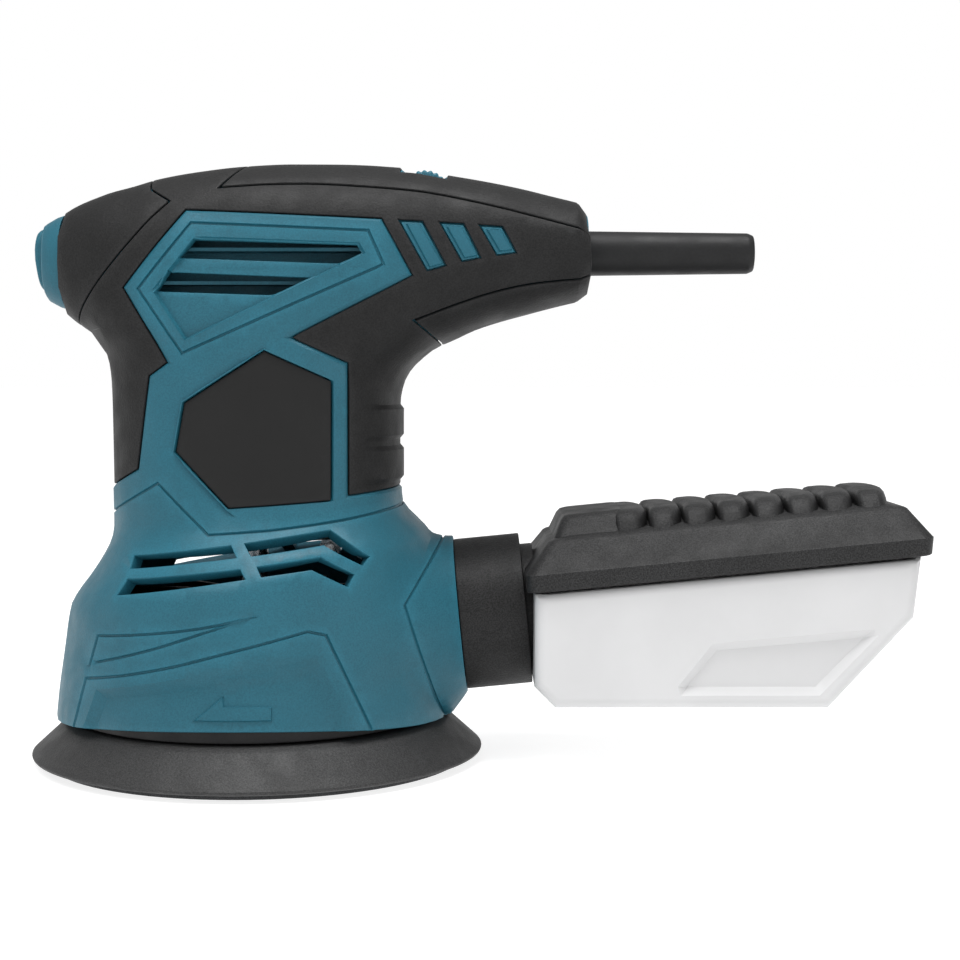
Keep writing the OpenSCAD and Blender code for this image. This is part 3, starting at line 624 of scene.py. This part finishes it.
class Body:
    """The triangulated side of the body, and the surface over it."""

    def __init__(self):
        outline, seams = body_outline()
        self.notch = dial_notch()
        self.slots = [offset(slot, -EDGE) for slot in (*UPPER_SLOTS, *LOWER_SLOTS)]
        self.holes = [circle(screw, SCREW_R + EDGE) for screw in SCREWS]
        lines = LineMap()
        lines.line(outline, step=9)
        for run in seams:
            inward = unit(np.stack(width_change(run), 1))
            for d in EDGE_ROWS:
                lines.line(run + d * inward, closed=False, step=9)
        lip = GAP + EDGE
        lines.beside(TEAL, GAP - STEEP, GAP, GAP + BEVEL, -lip)
        lines.beside(LABEL, STEEP - GAP, -GAP, -lip, lip)
        lines.line(LABEL_BEVEL)
        for polygon in (NOSE, TOP, FINGER):
            lines.beside(polygon, lip, -lip)
        for polygon, plate in zip(ACCENTS, ACCENT_PLATES):
            lines.beside(polygon, lip, -lip)
            lines.beside(plate, 0, PLATE_SLOPE)
        for polygon in (*self.slots, self.notch, *self.holes):
            lines.line(polygon)
        for polygon, _, slope in RECESSES:
            lines.beside(polygon, 0, slope)
        lines.line(BASE_RECESS)
        lines.line(BASE_RECESS_FLOOR)
        for line, closed, half in GROOVES:
            lines.beside(line, -half, -half * 0.45, half * 0.45, half, closed=closed)
        for low, high in RIDGE_BANDS:
            for z in (low - RIDGE_SLOPE, low, high, high + RIDGE_SLOPE):
                lines.line([(24, z), (60, z)], closed=False)
        lines.line([(TAIL_X - END_TURN, 100), (TAIL_X - END_TURN, 175)], closed=False)
        lines.grid(outline, lines=seams, margin=8.6)
        self.points, triangles = lines.triangles()
        centre = self.points[triangles].mean(1)
        keep = inside(centre, outline)
        self.triangles, self.centre = triangles[keep], centre[keep]
        self.half, self.normal = surface(self.points)
        self.seam = np.min([distance_to(self.points, run, closed=False) for run in seams], axis=0) < 0.02
        self.half[self.seam] = 0

    def pick(self, within=(), without=()):
        """The triangles inside any of some polygons, or all, and outside others."""
        chosen = np.full(len(self.centre), not within)
        for polygon in within:
            chosen |= inside(self.centre, polygon)
        for polygon in without:
            chosen &= ~inside(self.centre, polygon)
        return self.triangles[chosen]

    def solid(self, triangles, relief, thickness, two_sided=False, wear_and_shade=None):
        """The closed solid over some triangles: relief moves its outer face, thickness sets its inner one."""
        half = self.half if two_sided else np.maximum(self.half, GAP + EDGE)
        base = np.stack([self.points[:, 0], -half, self.points[:, 1]], 1)
        drop = self.end_drop()
        outer = base + (relief - drop)[:, None] * self.normal
        inner = base - (thickness + drop)[:, None] * self.normal
        for face in (inner, outer):
            face[:, 1] = np.minimum(face[:, 1], 0 if two_sided else -GAP)
        if not two_sided:
            return shell(outer, inner, self.normal, triangles, wear_extra=wear_and_shade)
        vertices, faces, worn = shell(outer, inner, self.normal, triangles, self.seam, wear_extra=wear_and_shade)
        vertices[np.abs(vertices[:, 1]) < 0.004, 1] = 0
        return joined(vertices, faces, worn)

    def end_drop(self):
        """How far the surface turns in at the tail's rounded end: more above the lead than below."""
        t = ramp(self.points[:, 0], TAIL_X - END_TURN, TAIL_X)
        return np.where(self.points[:, 1] > LEAD_Z, 2.6, 1.4) * t ** 1.4


def housing_relief(body):
    """Height of the teal shell over the body's surface: borders, recesses, grooves and the raised arrow."""
    p = body.points
    edge = depth_inside(p, TEAL)
    slope = RAISE - (RAISE + EDGE) * (1 - ramp(edge, GAP, GAP + BEVEL))
    height = np.where(edge < GAP + BEVEL, slope, RAISE)
    fold = distance_to(p, LABEL_BEVEL[1:5], closed=False)
    inner = distance_to(p, [LABEL_BEVEL[0], *LABEL_BEVEL[:4:-1]], closed=False)
    bevelled = depth_inside(p, LABEL_BEVEL) > -0.01
    height -= LABEL_SINK * np.where(bevelled, fold / np.maximum(fold + inner, 1e-6), 0)
    for polygon, depth, slope in RECESSES:
        height -= depth * ramp(depth_inside(p, polygon), min(slope, 0), max(slope, 0))
    outside, within = distance_to(p, BASE_RECESS), distance_to(p, BASE_RECESS_FLOOR)
    t = np.where(inside(p, BASE_RECESS_FLOOR), 1, outside / np.maximum(outside + within, 1e-6))
    height -= BASE_RECESS_DEPTH * np.where(depth_inside(p, BASE_RECESS) > -0.01, t, 0)
    for line, closed, half in GROOVES:
        d = distance_to(p, line, closed)
        height -= GROOVE_DEPTH * (1 - ramp(d, half * 0.5, half * 0.97)) * (edge > GAP + BEVEL / 2)
    # the bed that carries the skins, and the deeper one under the label
    height[edge < GAP - 0.01] = -SKIN - 0.2
    height[depth_inside(p, LABEL) > 0.01 - GAP] = -LABEL_SINK - SKIN - 0.15
    return height


def grip_relief(body):
    """Finger ridges across the column's rear, one millimetre high."""
    x, z = body.points.T
    bands = [ramp(z, low - RIDGE_SLOPE, low) * (1 - ramp(z, high, high + RIDGE_SLOPE))
             for low, high in RIDGE_BANDS]
    return sum(bands) * smooth_ramp(x, 30.5, 36)


def accent_relief(body):
    """A raised plate on each sunk insert."""
    height = np.full(len(body.points), -0.5)
    for plate in ACCENT_PLATES:
        height += 0.75 * ramp(depth_inside(body.points, plate), 0, PLATE_SLOPE)
    return height


# ---- materials ----

def set_inputs(node, values):
    for socket, value in values.items():
        node.inputs[socket.replace("_", " ")].default_value = value
    return node


def new_material(name, color, rough, grain, bump, spread, metal=0.0, worn=0.25, speck=0.0, **constants):
    """A moulded or metal surface: mottled and speckled colour, fine grain bump, lighter worn edges; a
    negative amount darkens the marked places instead, as painted shade on the clear bin.
    """
    material = bpy.data.materials.new(name)
    material.use_nodes = True
    nodes, links = material.node_tree.nodes, material.node_tree.links
    shader = nodes["Principled BSDF"]
    where = nodes.new("ShaderNodeTexCoord").outputs["Object"]

    def add(kind, **values):
        return set_inputs(nodes.new("ShaderNode" + kind), values)

    def noise(scale, detail=3.0):
        n = add("TexNoise", Scale=scale, Detail=detail)
        links.new(where, n.inputs["Vector"])
        return n.outputs["Fac"]

    def mapped(value, from_low, from_high, low, high):
        r = add("MapRange", From_Min=from_low, From_Max=from_high, To_Min=low, To_Max=high)
        links.new(value, r.inputs["Value"])
        return r.outputs["Result"]

    def about(value, middle, reach):
        return mapped(value, 0.35, 0.65, middle - reach, middle + reach)

    def times(a, b):
        m = add("Math")
        m.operation = "MULTIPLY"
        links.new(a, m.inputs[0])
        links.new(b, m.inputs[1])
        return m.outputs["Value"]
    mottle = about(noise(60), 1, spread)
    if speck:
        mottle = times(mottle, about(noise(grain * 1.6, 2.0), 1, speck))
    wear_and_shade = add("Attribute")
    wear_and_shade.attribute_name = "wear_and_shade"
    tint = add("VectorMath")
    tint.operation = "SCALE"
    tint.inputs[0].default_value = color
    # marked places: lighter for wear, and darker for painted shade where the amount is negative, as on the
    # clear bin
    links.new(times(mottle, mapped(wear_and_shade.outputs["Fac"], 0, 1, 1, 1 + worn)), tint.inputs["Scale"])
    links.new(tint.outputs["Vector"], shader.inputs["Base Color"])
    links.new(about(noise(140), rough, 0.06), shader.inputs["Roughness"])
    relief = add("Bump", Strength=bump, Distance=0.0002)
    links.new(noise(grain), relief.inputs["Height"])
    links.new(relief.outputs["Normal"], shader.inputs["Normal"])
    set_inputs(shader, {"Metallic": metal, **constants})
    return material


TEAL_COLOR = (0.0125, 0.097, 0.138)
DULL = {"Specular_IOR_Level": 0.22}
# Colour, roughness, grain scale, bump, spread of the mottling, and what else differs
LOOKS = {
    "teal_shell": (TEAL_COLOR, 0.5, 1500, 0.3, 0.05, {"speck": 0.12, "Specular_IOR_Level": 0.3}),
    "soft_grip": ((0.010, 0.010, 0.0102), 0.6, 1500, 0.5, 0.05, {"worn": 0.5, "speck": 0.35, **DULL}),
    "label_panel": ((0.011, 0.011, 0.011), 0.5, 2200, 0.05, 0.05, {"Specular_IOR_Level": 0.2}),
    "teal_accent": (TEAL_COLOR, 0.52, 1500, 0.25, 0.05, {"speck": 0.08, "Specular_IOR_Level": 0.3}),
    "dark_plastic": ((0.0135, 0.0135, 0.0138), 0.55, 1700, 0.6, 0.08, {"worn": 0.5, "speck": 0.6, **DULL}),
    # the clear bin's narrow faces are darkened: painted shade for the dark rim along the bin's outline
    "clear_bin": ((0.64, 0.64, 0.645), 0.35, 500, 0.05, 0.02,
                  {"worn": -0.35, "Transmission_Weight": 0.1, "IOR": 1.45}),
    "pad_foam": ((0.021, 0.021, 0.0213), 0.6, 1600, 0.6, 0.06,
                 {"worn": 0.3, "speck": 0.5, "Specular_IOR_Level": 0.4}),
    "hook_felt": ((0.03, 0.031, 0.033), 0.9, 1800, 1.0, 0.2, {"speck": 0.4, "Sheen_Weight": 0.4}),
    "steel": ((0.62, 0.63, 0.65), 0.28, 300, 0.06, 0.08, {"metal": 1.0, "Anisotropic": 0.4}),
    "lamination": ((0.28, 0.28, 0.29), 0.5, 600, 0.3, 0.15, {"metal": 0.9}),
    "alloy": ((0.6, 0.61, 0.62), 0.42, 700, 0.25, 0.1, {"metal": 1.0}),
    "copper": ((0.55, 0.22, 0.09), 0.32, 900, 0.4, 0.18, {"metal": 1.0, "Coat_Weight": 0.4}),
    "brass": ((0.6, 0.42, 0.14), 0.3, 400, 0.08, 0.1, {"metal": 1.0}),
    "carbon": ((0.02, 0.02, 0.022), 0.5, 1200, 0.3, 0.2, {}),
    "seal_rubber": ((0.012, 0.012, 0.0125), 0.5, 900, 0.2, 0.08, {"worn": 0.4, "speck": 0.1, **DULL}),
    "board": ((0.03, 0.14, 0.05), 0.35, 400, 0.12, 0.15, {"Coat_Weight": 0.5}),
    "film_cap": ((0.7, 0.55, 0.06), 0.3, 500, 0.05, 0.06, {"Coat_Weight": 0.4}),
    "rocker_plastic": ((0.03, 0.03, 0.032), 0.4, 900, 0.12, 0.06, {}),
    "filter_paper": ((0.75, 0.7, 0.6), 0.85, 600, 0.5, 0.1, {"Sheen_Weight": 0.2}),
}
looks = {name: new_material(name, *values, **more) for name, (*values, more) in LOOKS.items()}
slots = {part["node"]: part["material_slot"] for part in frame["record"]["subparts"]}
bodies = {node: name for name, nodes in frame["record"]["behaviour"]["bodies"].items() for node in nodes}
for node, thing in frame["nodes"].items():
    thing.data.materials.clear()
    thing.data.materials.append(looks[slots[node]])


def place(piece, *nodes):
    """A finished piece stands for CAD nodes, rides on their body and takes their slot."""
    piece.data.materials.append(looks[slots[nodes[0]]])
    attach(piece, bodies[nodes[0]])
    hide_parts(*nodes)
    return piece


def combined(*parts):
    """Several (vertices, faces, wear) as one."""
    vertices, faces, wear_and_shade, first = [], [], [], 0
    for v, f, w in parts:
        vertices.append(np.asarray(v))
        faces += [[i + first for i in face] for face in f]
        wear_and_shade.append(w)
        first += len(v)
    return np.vstack(vertices), faces, np.concatenate(wear_and_shade)


# ---- the moulded body ----

def tail_wall():
    """The left half of the wall that closes the tail round the lead's guard."""
    top, bottom, half = handle_at(np.array(TAIL_X - 2)).T
    front, back, margin, hole = TAIL_X - 3, TAIL_X - 0.6, 3.1, 6.6
    vertices = []
    for a in np.radians(np.linspace(90, 270, 25)):
        c, s = cos(a), sin(a)
        rim = (min(-abs(c) ** 0.8 * (half - margin), -GAP),
               (top + bottom) / 2 + signed_power(s, 0.8) * ((top - bottom) / 2 - margin))
        bore = (min(hole * c, -GAP), LEAD_Z + hole * s)
        vertices += [(front, *rim), (back, *rim), (back, *bore), (front, *bore)]
    last = len(vertices) - 4
    faces = [face for i in range(0, last, 4) for face in band(i, i + 4, 4)]
    faces += [[3, 2, 1, 0], [last, last + 1, last + 2, last + 3]]
    return np.array(vertices), faces, np.zeros(len(vertices))


def block(low, high):
    """A plain block between two corners, as (vertices, faces, wear)."""
    vertices = [(x, y, z) for x in (low[0], high[0]) for y in (low[1], high[1]) for z in (low[2], high[2])]
    faces = [[0, 1, 3, 2], [4, 6, 7, 5], [0, 4, 5, 1], [2, 3, 7, 6], [0, 2, 6, 4], [1, 5, 7, 3]]
    return np.array(vertices), faces, np.zeros(8)


def baffle():
    """The wall and ledges behind the handle's vents."""
    wall, ledge = (-17.2, -16), (-26.5, -17.2)     # from y, to y
    return combined(block((-27, wall[0], 124), (40, wall[1], 147)),
                    block((-24, ledge[0], 139.2), (34, ledge[1], 140.1)),
                    block((-24, ledge[0], 130.4), (30, ledge[1], 131.3)))


def build_body():
    """The housing halves and the skins, panels and inserts that lie on them."""
    body = Body()
    lip = GAP + EDGE
    teal, nose, top, finger, *accents = (offset(p, -lip) for p in (TEAL, NOSE, TOP, FINGER, *ACCENTS))
    flat = np.zeros(len(body.points))
    grooves = np.min([distance_to(body.points, line, closed) - half
                      for line, closed, half in GROOVES], axis=0)
    worn = 0.7 * (1 - ramp(np.abs(grooves), 0, 0.35))
    label_relief, label_thickness = flat - 0.35, SKIN - 0.4
    for side, cuts in (("left", []), ("right", body.holes)):
        housing = body.solid(body.pick(without=[*body.slots, body.notch, *cuts]), housing_relief(body), WALL,
                             wear_and_shade=worn)
        skin = body.pick(without=[teal, nose, top, finger, *accents, body.notch, *cuts])
        inserts = body.pick([offset(p, lip) for p in ACCENTS])
        parts = {"housing": combined(housing, tail_wall(), baffle()),
                 "grip": body.solid(skin, grip_relief(body), SKIN),
                 "label": body.solid(body.pick([offset(LABEL, lip)]), label_relief, label_thickness),
                 "accents": body.solid(inserts, accent_relief(body), SKIN)}
        for kind, (vertices, faces, wear_and_shade) in parts.items():
            if side == "right":
                vertices, faces = mirrored(vertices, faces)
            name = f"{kind}_{side}"
            place(make_object(name + "_shell", vertices, faces, wear_and_shade), name)
    for name, within, without in (("nose_collar", NOSE, [teal]),
                                  ("top_pad", TOP, [teal, *accents, body.notch]),
                                  ("finger_grip", FINGER, [])):
        skin = body.pick([offset(within, lip)], without)
        place(make_object(name + "_skin", *body.solid(skin, flat, SKIN, two_sided=True)), name)


# ---- switch, dial and guard ----

def nose_ring(x, half_y, half_z, center=NOSE_Z, bend=0.8):
    """A ring across the nose."""
    return [(x, half_y * a, center + half_z * b) for a, b in squarish(bend, 56)]


BOOT_FRONT = smooth_curve([(128, -56.2), (130.5, -57.2), (134, -57.9), (139.8, -58.6), (145, -58.1),
                           (147.5, -57)])      # z, x
BOOT_BACK = -52.6


def boot_x(z, back=0.0):
    return float(BOOT_FRONT(z)[0]) + back


def build_switch():
    """The bezel's rounded ring, and the boot's curved button with five bars across it."""
    rings = [nose_ring(*row) for row in (
        (-50.4, 15.8, 13.1), (-52.6, 15.0, 12.4), (-55.2, 12.9, 11), (-55.7, 12.2, 10.5, 137.8),
        (-55.9, 11.6, 10.1, 137.9), (-55.9, 9.9, 9.8, SWITCH_Z, 0.5), (-55.6, 9.5, 9.6, SWITCH_Z, 0.5),
        (-50.4, 9.5, 9.6, SWITCH_Z, 0.5))]
    place(fix_normals(loft("switch_bezel_flange", rings, closed=True, wear_rings=(3, 4, 5))), "switch_bezel")
    rings = [nose_ring(BOOT_BACK, 8.6, 8.8, SWITCH_Z, 0.5)]
    for size, back in ((1, 1.2), (0.97, 0.5), (0.92, 0.15), (0.8, 0), (0.5, 0), (0.2, 0)):
        ring = nose_ring(0, 8.6 * size, 8.8 * size, SWITCH_Z, 0.5)
        rings.append([(boot_x(z, back), y, z) for _, y, z in ring])
    pieces = [loft("part", rings, sharp=40, wear_rings=(3,))]
    for z in (133.2, 135, 136.8, 141.4, 143.2):
        bar = [[(boot_x(z + b, -lift), a, z + b) for a, b in rounded_rectangle(half_y, half_z, 0.3, 3)]
               for lift, half_y, half_z in ((-0.3, 4.6, 0.55), (0.2, 4.6, 0.55), (0.4, 4.3, 0.3))]
        pieces.append(loft("part", bar, sharp=40))
    place(join("switch_boot_rubber", pieces), "switch_boot")


def join(name, pieces):
    """One object out of several closed solids."""
    mesh = bpy.data.meshes.new(name)
    work = bmesh.new()
    for piece in pieces:
        work.from_mesh(piece.data)
        bpy.data.objects.remove(piece)
    bmesh.ops.recalc_face_normals(work, faces=work.faces)
    work.to_mesh(mesh)
    work.free()
    return add_object(name, mesh)


def build_dial():
    """The trough that follows the handle's crown, and the knurled wheel in its slot."""
    lines = LineMap()
    low, high, half, slope = DIAL_X[0] + 0.25, DIAL_X[1] - 0.25, DIAL_HALF - 0.3, 1.8
    box = [(low, -half), (high, -half), (high, half), (low, half)]
    slot = [(DIAL[0] + a * 6, b * 5.1) for a, b in ((-1, -1), (1, -1), (1, 1), (-1, 1))]
    lines.line(offset(box, EDGE), step=1)
    for x in (low + slope, high - slope):
        lines.line([(x, -half + EDGE), (x, half - EDGE)], closed=False, step=1)
    lines.line(slot, step=1)
    lines.grid(offset(box, EDGE + 0.4), 1.6, 0.6)
    points, triangles = lines.triangles()
    triangles = triangles[~inside(points[triangles].mean(1), slot)]
    x, y = points.T
    top, bottom, wide = handle_at(x).T
    crown = (top + bottom) / 2 + (top - bottom) / 2 * (1 - np.abs(y / wide) ** HANDLE_N) ** (1 / HANDLE_N)
    floor = np.minimum(ramp(x, low, low + slope), 1 - ramp(x, high - slope, high))
    outer = np.stack([x, y, crown - 0.3 - 1.5 * floor], 1)
    data = shell(outer, outer - [0, 0, 2.2], np.tile([0.0, 0, 1], (len(x), 1)), triangles, edge=0.25)
    place(make_object("dial_trough", *data), "dial_bezel")
    knurl = (0, 0, 0.25, 0.5, 0.25)
    turns = [(k, 2 * pi * k / 120) for k in range(120)]
    rings = [[(DIAL[0] + (r - knurl[k % 5]) * cos(a), y, DIAL[1] + (r - knurl[k % 5]) * sin(a))
              for k, a in turns]
             for y, r in ((-4.5, 6.3), (-4.2, 6.8), (-3.9, 7), (3.9, 7), (4.2, 6.8), (4.5, 6.3))]
    stub = [[(x, y, z) for x, z in circle(DIAL, 1.5)] for y in (4.5, 9)]
    pieces = [loft("part", rings, sharp=38, wear_rings=(1, 2, 3, 4)), loft("part", stub)]
    place(join("speed_dial_wheel", pieces), "speed_dial")


def build_guard():
    """The lead's guard: a flange, a ring and a slightly tapered sleeve."""
    profile = [(3.5, 80), (6.2, 80), (6.2, 85.8), (8.6, 85.8), (8.6, 89), (6.2, 89), (6.1, 98), (5.6, 137.4),
               (4.9, 139), (3.5, 139)]
    place(revolve("cord_guard_sleeve", rounded(profile), along_lead, 64), "cord_guard")


# ---- dust box, in the port's frame: u along the port, w up across it ----

def port_ring(w, u_low, u_high, half_y, radius):
    """A rounded rectangle round the port's direction, at one height."""
    mid, half = (u_low + u_high) / 2, (u_high - u_low) / 2
    return [port_point(mid + a, b, w) for a, b in rounded_rectangle(half, half_y, radius)]


# Rings of the lid, as port_ring takes them: the cover from its deck out and down, then its inside going up;
# and the raised part of the deck at the port's end
LID = [(21.1, 30.3, 117.5, 20.0, 3), (20.9, 29.5, 118.5, 21.0, 3), (20.4, 28.2, 120.6, 22.0, 2.4),
    (20.0, 26.8, 122.3, 23.0, 2.4), (19.6, 26.0, 122.9, 23.6, 2.6), (12.3, 19.4, 127.5, 30.9, 3.3),
    (12.0, 19.2, 127.8, 31.2, 3.5), (7.6, 19.2, 127.0, 31.2, 3.5), (7.35, 19.4, 126.6, 31.0, 3.4),
    (7.35, 22.2, 123.6, 28.4, 2), (11.6, 22.2, 124.9, 28.4, 2), (17.2, 29, 119, 22, 2),
    (19.0, 31, 115.5, 19, 2)]
DECK = [(19.9, 27.6, 47.0, 21.9, 2.5), (24.8, 30.2, 47.0, 17.6, 2.5), (25.8, 31.2, 47.0, 16.2, 2.5),
    (26.1, 32.4, 47.0, 14.8, 2.5)]
LOBES, LOBE_PITCH, LOBE_BEND, LOBE_BOW = 8, 9.4, 0.45, 2.2
# Rings of one lobe: w, half length along u, half width
LOBE = [(19.9, 4.5, 21.9), (23.0, 4.45, 20.4), (24.6, 4.2, 18.6), (25.5, 3.6, 17), (25.9, 2.6, 15)]


def build_lid():
    """Ribbed cover: a band, a wide bevel all round, and a raised deck with overlapping rounded lobes."""
    pieces = [loft("part", [port_ring(*row) for row in LID], sharp=28, wear_rings=(2, 3, 4, 6, 7)),
              loft("part", [port_ring(*row) for row in DECK], sharp=28, wear_rings=(1, 2))]
    for i in range(LOBES):
        middle, drop = 47.8 + LOBE_PITCH * i, 0.12 * i
        rings = [[port_point(middle + half * a + LOBE_BOW * (1 - b * b), wide * b,
                             w - drop * (w > LOBE[0][0]))
                  for a, b in squarish(LOBE_BEND, 40)] for w, half, wide in LOBE]
        pieces.append(loft("part", rings, sharp=35, wear_rings=(2, 3)))
    place(join("box_lid_cover", pieces), "box_lid")


BIN = [(77.8, 48.6), (77.8, 23.6), (83.4, 18), (156, 18), (178.6, 42.3), (180.4, 58.4)]
PANEL = [(125.1, 35.6), (170.8, 39.6), (153.5, 21.6), (113.9, 21.6)]
BIN_HALF, BIN_FILLET, BIN_STEP = 29.7, 2.6, 3
PANEL_DEPTH, PANEL_SLOPE = 1.6, 2.2
BIN_TOP = 0.0368    # height of the bin's open top across the port, in metres


def build_bin():
    """Each side face is a line map, and rows of points carry it round to the narrow faces."""
    inset = offset(BIN, BIN_FILLET)
    lines = LineMap()
    for line, d in ((inset, 0), (PANEL, 0), (PANEL, PANEL_SLOPE), (PANEL, PANEL_SLOPE + 0.4), (inset, 0.4)):
        lines.line(offset(line, d), step=BIN_STEP)
    lines.grid(inset, 5, 1.5)
    points, triangles = lines.triangles()
    triangles = triangles[inside(points[triangles].mean(1), inset)]
    half = BIN_HALF - PANEL_DEPTH * ramp(depth_inside(points, PANEL), 0, PANEL_SLOPE)
    vertices, faces = [], []
    for sign in (-1, 1):
        faces += [[int(i) + len(vertices) for i in t[::-sign]] for t in triangles]
        vertices += [(x, sign * y, z) for (x, z), y in zip(points, half)]
    rows = []
    for a in np.radians([0, 22.5, 45, 67.5, 90]):
        line = resample(offset(inset, -BIN_FILLET * sin(a)), True, BIN_STEP, inset)
        rows.append([(x, -(BIN_HALF - BIN_FILLET * (1 - cos(a))), z) for x, z in line])
    rows += [[(x, -y, z) for x, y, z in row] for row in rows[::-1]]
    n, first = len(rows[0]), len(vertices)
    for i in range(len(rows) - 1):
        faces += band(first + i * n, first + (i + 1) * n, n)
    vertices = np.vstack([vertices, *rows])
    # the narrow faces past the fillets are marked, and the clear_bin material darkens them as painted shade
    # for the dark rim along the outline
    mesh = new_mesh("box_bin", vertices, faces, np.abs(vertices[:, 1]) < BIN_HALF - 0.8 * BIN_FILLET)
    up = Vector((PORT_W[0], 0, PORT_W[1]))
    with edited(mesh) as work:
        bmesh.ops.remove_doubles(work, verts=work.verts, dist=2e-5)
        bmesh.ops.recalc_face_normals(work, faces=work.faces)
        top = [f for f in work.faces if f.normal.dot(up) > 0.97 and f.calc_center_median().dot(up) > BIN_TOP]
        bmesh.ops.delete(work, geom=top, context="FACES")
        shade(work, 28)
    piece = add_object("box_bin", mesh)
    wall = piece.modifiers.new("wall", "SOLIDIFY")
    wall.thickness = 2 * MM
    wall.offset = -1
    place(piece, "box_body")


def build_neck():
    """The tube that sits in the port, with a thicker collar behind it."""
    profile = [(15.5, -12), (17.8, -12), (17.8, 0.4), (21, 0.4), (21, 18.6), (17.9, 18.6), (17.9, 22),
               (15.5, 22)]
    place(revolve("box_neck_tube", rounded(profile), along_port), "box_neck")


# ---- pad ----

PAD_R, PAD_TOP_R, PAD_TOP_Z, HOOK = 62.5, 52.0, 12.2, 1.5
ORBIT = 1.25            # how far the pad's axis is off the motor's
PAD_BORE, PAD_ROOF = 17.2, 9    # radius and height of the hollow round the hub
HOLE_CIRCLE, HOLE_R, MIDDLE_R = 32.5, 5.2, 9


def build_pad():
    """The foam's cone, the hook layer with its dust holes, and the brake ring over them."""
    profile = [(PAD_BORE, HOOK), (PAD_R - 2.5, HOOK), (PAD_R - 0.2, 2.2), (PAD_R, 2.9),
               (PAD_TOP_R + 1.6, PAD_TOP_Z - 1.2), (PAD_TOP_R - 0.6, PAD_TOP_Z), (44, PAD_TOP_Z - 0.2),
               (43.6, PAD_ROOF), (PAD_BORE, PAD_ROOF)]
    pad = revolve("pad_foam_disc", rounded(profile, 0.5), upright(ORBIT), 144, wear_rings=range(8, 14))
    place(pad, "pad_foam")
    holes = [circle((ORBIT, 0), MIDDLE_R, 32)]
    for k in range(8):
        a = radians(45 * k + 22.5)
        holes.append(circle((ORBIT + HOLE_CIRCLE * cos(a), HOLE_CIRCLE * sin(a)), HOLE_R))
    lines = LineMap()
    for line in (circle((ORBIT, 0), PAD_R - 5, 96), *holes):
        lines.line(line, step=9)
    points, triangles = lines.triangles()
    centre = points[triangles].mean(1)
    keep = np.linalg.norm(centre - [ORBIT, 0], axis=1) < PAD_R
    for hole in holes:
        keep &= ~inside(centre, hole)
    low = np.stack([points[:, 0], -points[:, 1], points[:, 0] * 0 + 0.02], 1)
    down = np.tile([0.0, 0, -1], (len(low), 1))
    data = shell(low, low + [0, 0, HOOK - 0.06], down, triangles[keep], edge=0.2)
    place(fix_normals(make_object("hook_disc", *data)), "hook_layer")
    profile = [(46.5, 12.6), (50, 12.6), (50, 18), (46.5, 18)]
    place(revolve("pad_brake_ring", rounded(profile, 0.5), upright(), 120), "pad_brake")


build_body()
build_switch()
build_dial()
build_guard()
build_lid()
build_bin()
build_neck()
build_pad()


# ---- stage, light and camera ----

def stage_plane(size, z, color):
    mesh = bpy.data.meshes.new("floor")
    corners = [(size * a, size * b, z) for a, b in ((-1, -1), (1, -1), (1, 1), (-1, 1))]
    mesh.from_pydata(corners, [], [[0, 1, 2, 3]])
    mesh.materials.append(new_material("floor", color, 0.9, 50, 0.0, 0.0, Emission_Strength=0.8,
                                       Emission_Color=(1, 1, 1, 1)))
    return add_object("floor", mesh)


stage_plane(12.0, -0.0002, (0.42, 0.42, 0.42))


def area_light(name, position, size, watts, target=Vector((0.05, 0, 0.08))):
    light = bpy.data.lights.new(name, "AREA")
    light.shape, light.size, light.size_y, light.energy = "RECTANGLE", *size, watts
    lamp = add_object(name, light)
    lamp.location = position
    lamp.rotation_euler = (target - Vector(position)).to_track_quat("-Z", "Y").to_euler()


area_light("key", (-0.4, -0.6, 1.1), (0.6, 0.6), 4.6)
area_light("fill", (0.9, -0.9, 0.5), (0.8, 0.8), 0.8)
area_light("top", (0.12, -0.2, 1.25), (0.9, 0.5), 15)
# a white horizon that fades towards the zenith
world = bpy.data.worlds.new("studio")
world.use_nodes = True
sky, links = world.node_tree.nodes, world.node_tree.links
split = sky.new("ShaderNodeSeparateXYZ")
fade = sky.new("ShaderNodeMapRange")
set_inputs(fade, {"From_Min": 0.24, "From_Max": 0.4, "To_Min": 1.0, "To_Max": 0.4})
links.new(sky.new("ShaderNodeTexCoord").outputs["Generated"], split.inputs["Vector"])
links.new(split.outputs["Z"], fade.inputs["Value"])
links.new(fade.outputs["Result"], sky["Background"].inputs["Strength"])
sky["Background"].inputs["Color"].default_value = (1, 1, 1, 1)
scene = bpy.context.scene
scene.world = world
scene.view_settings.view_transform = "Standard"
scene.view_settings.look = "None"

lens = bpy.data.cameras.new("camera")
lens.lens, lens.sensor_width, lens.clip_start = 70, 36, 0.01
camera = add_object("camera", lens)
camera.location = (0.0633, -0.521, 0.1074)
camera.rotation_euler = (radians(90 - 3.31), 0, 0)
scene.camera = camera
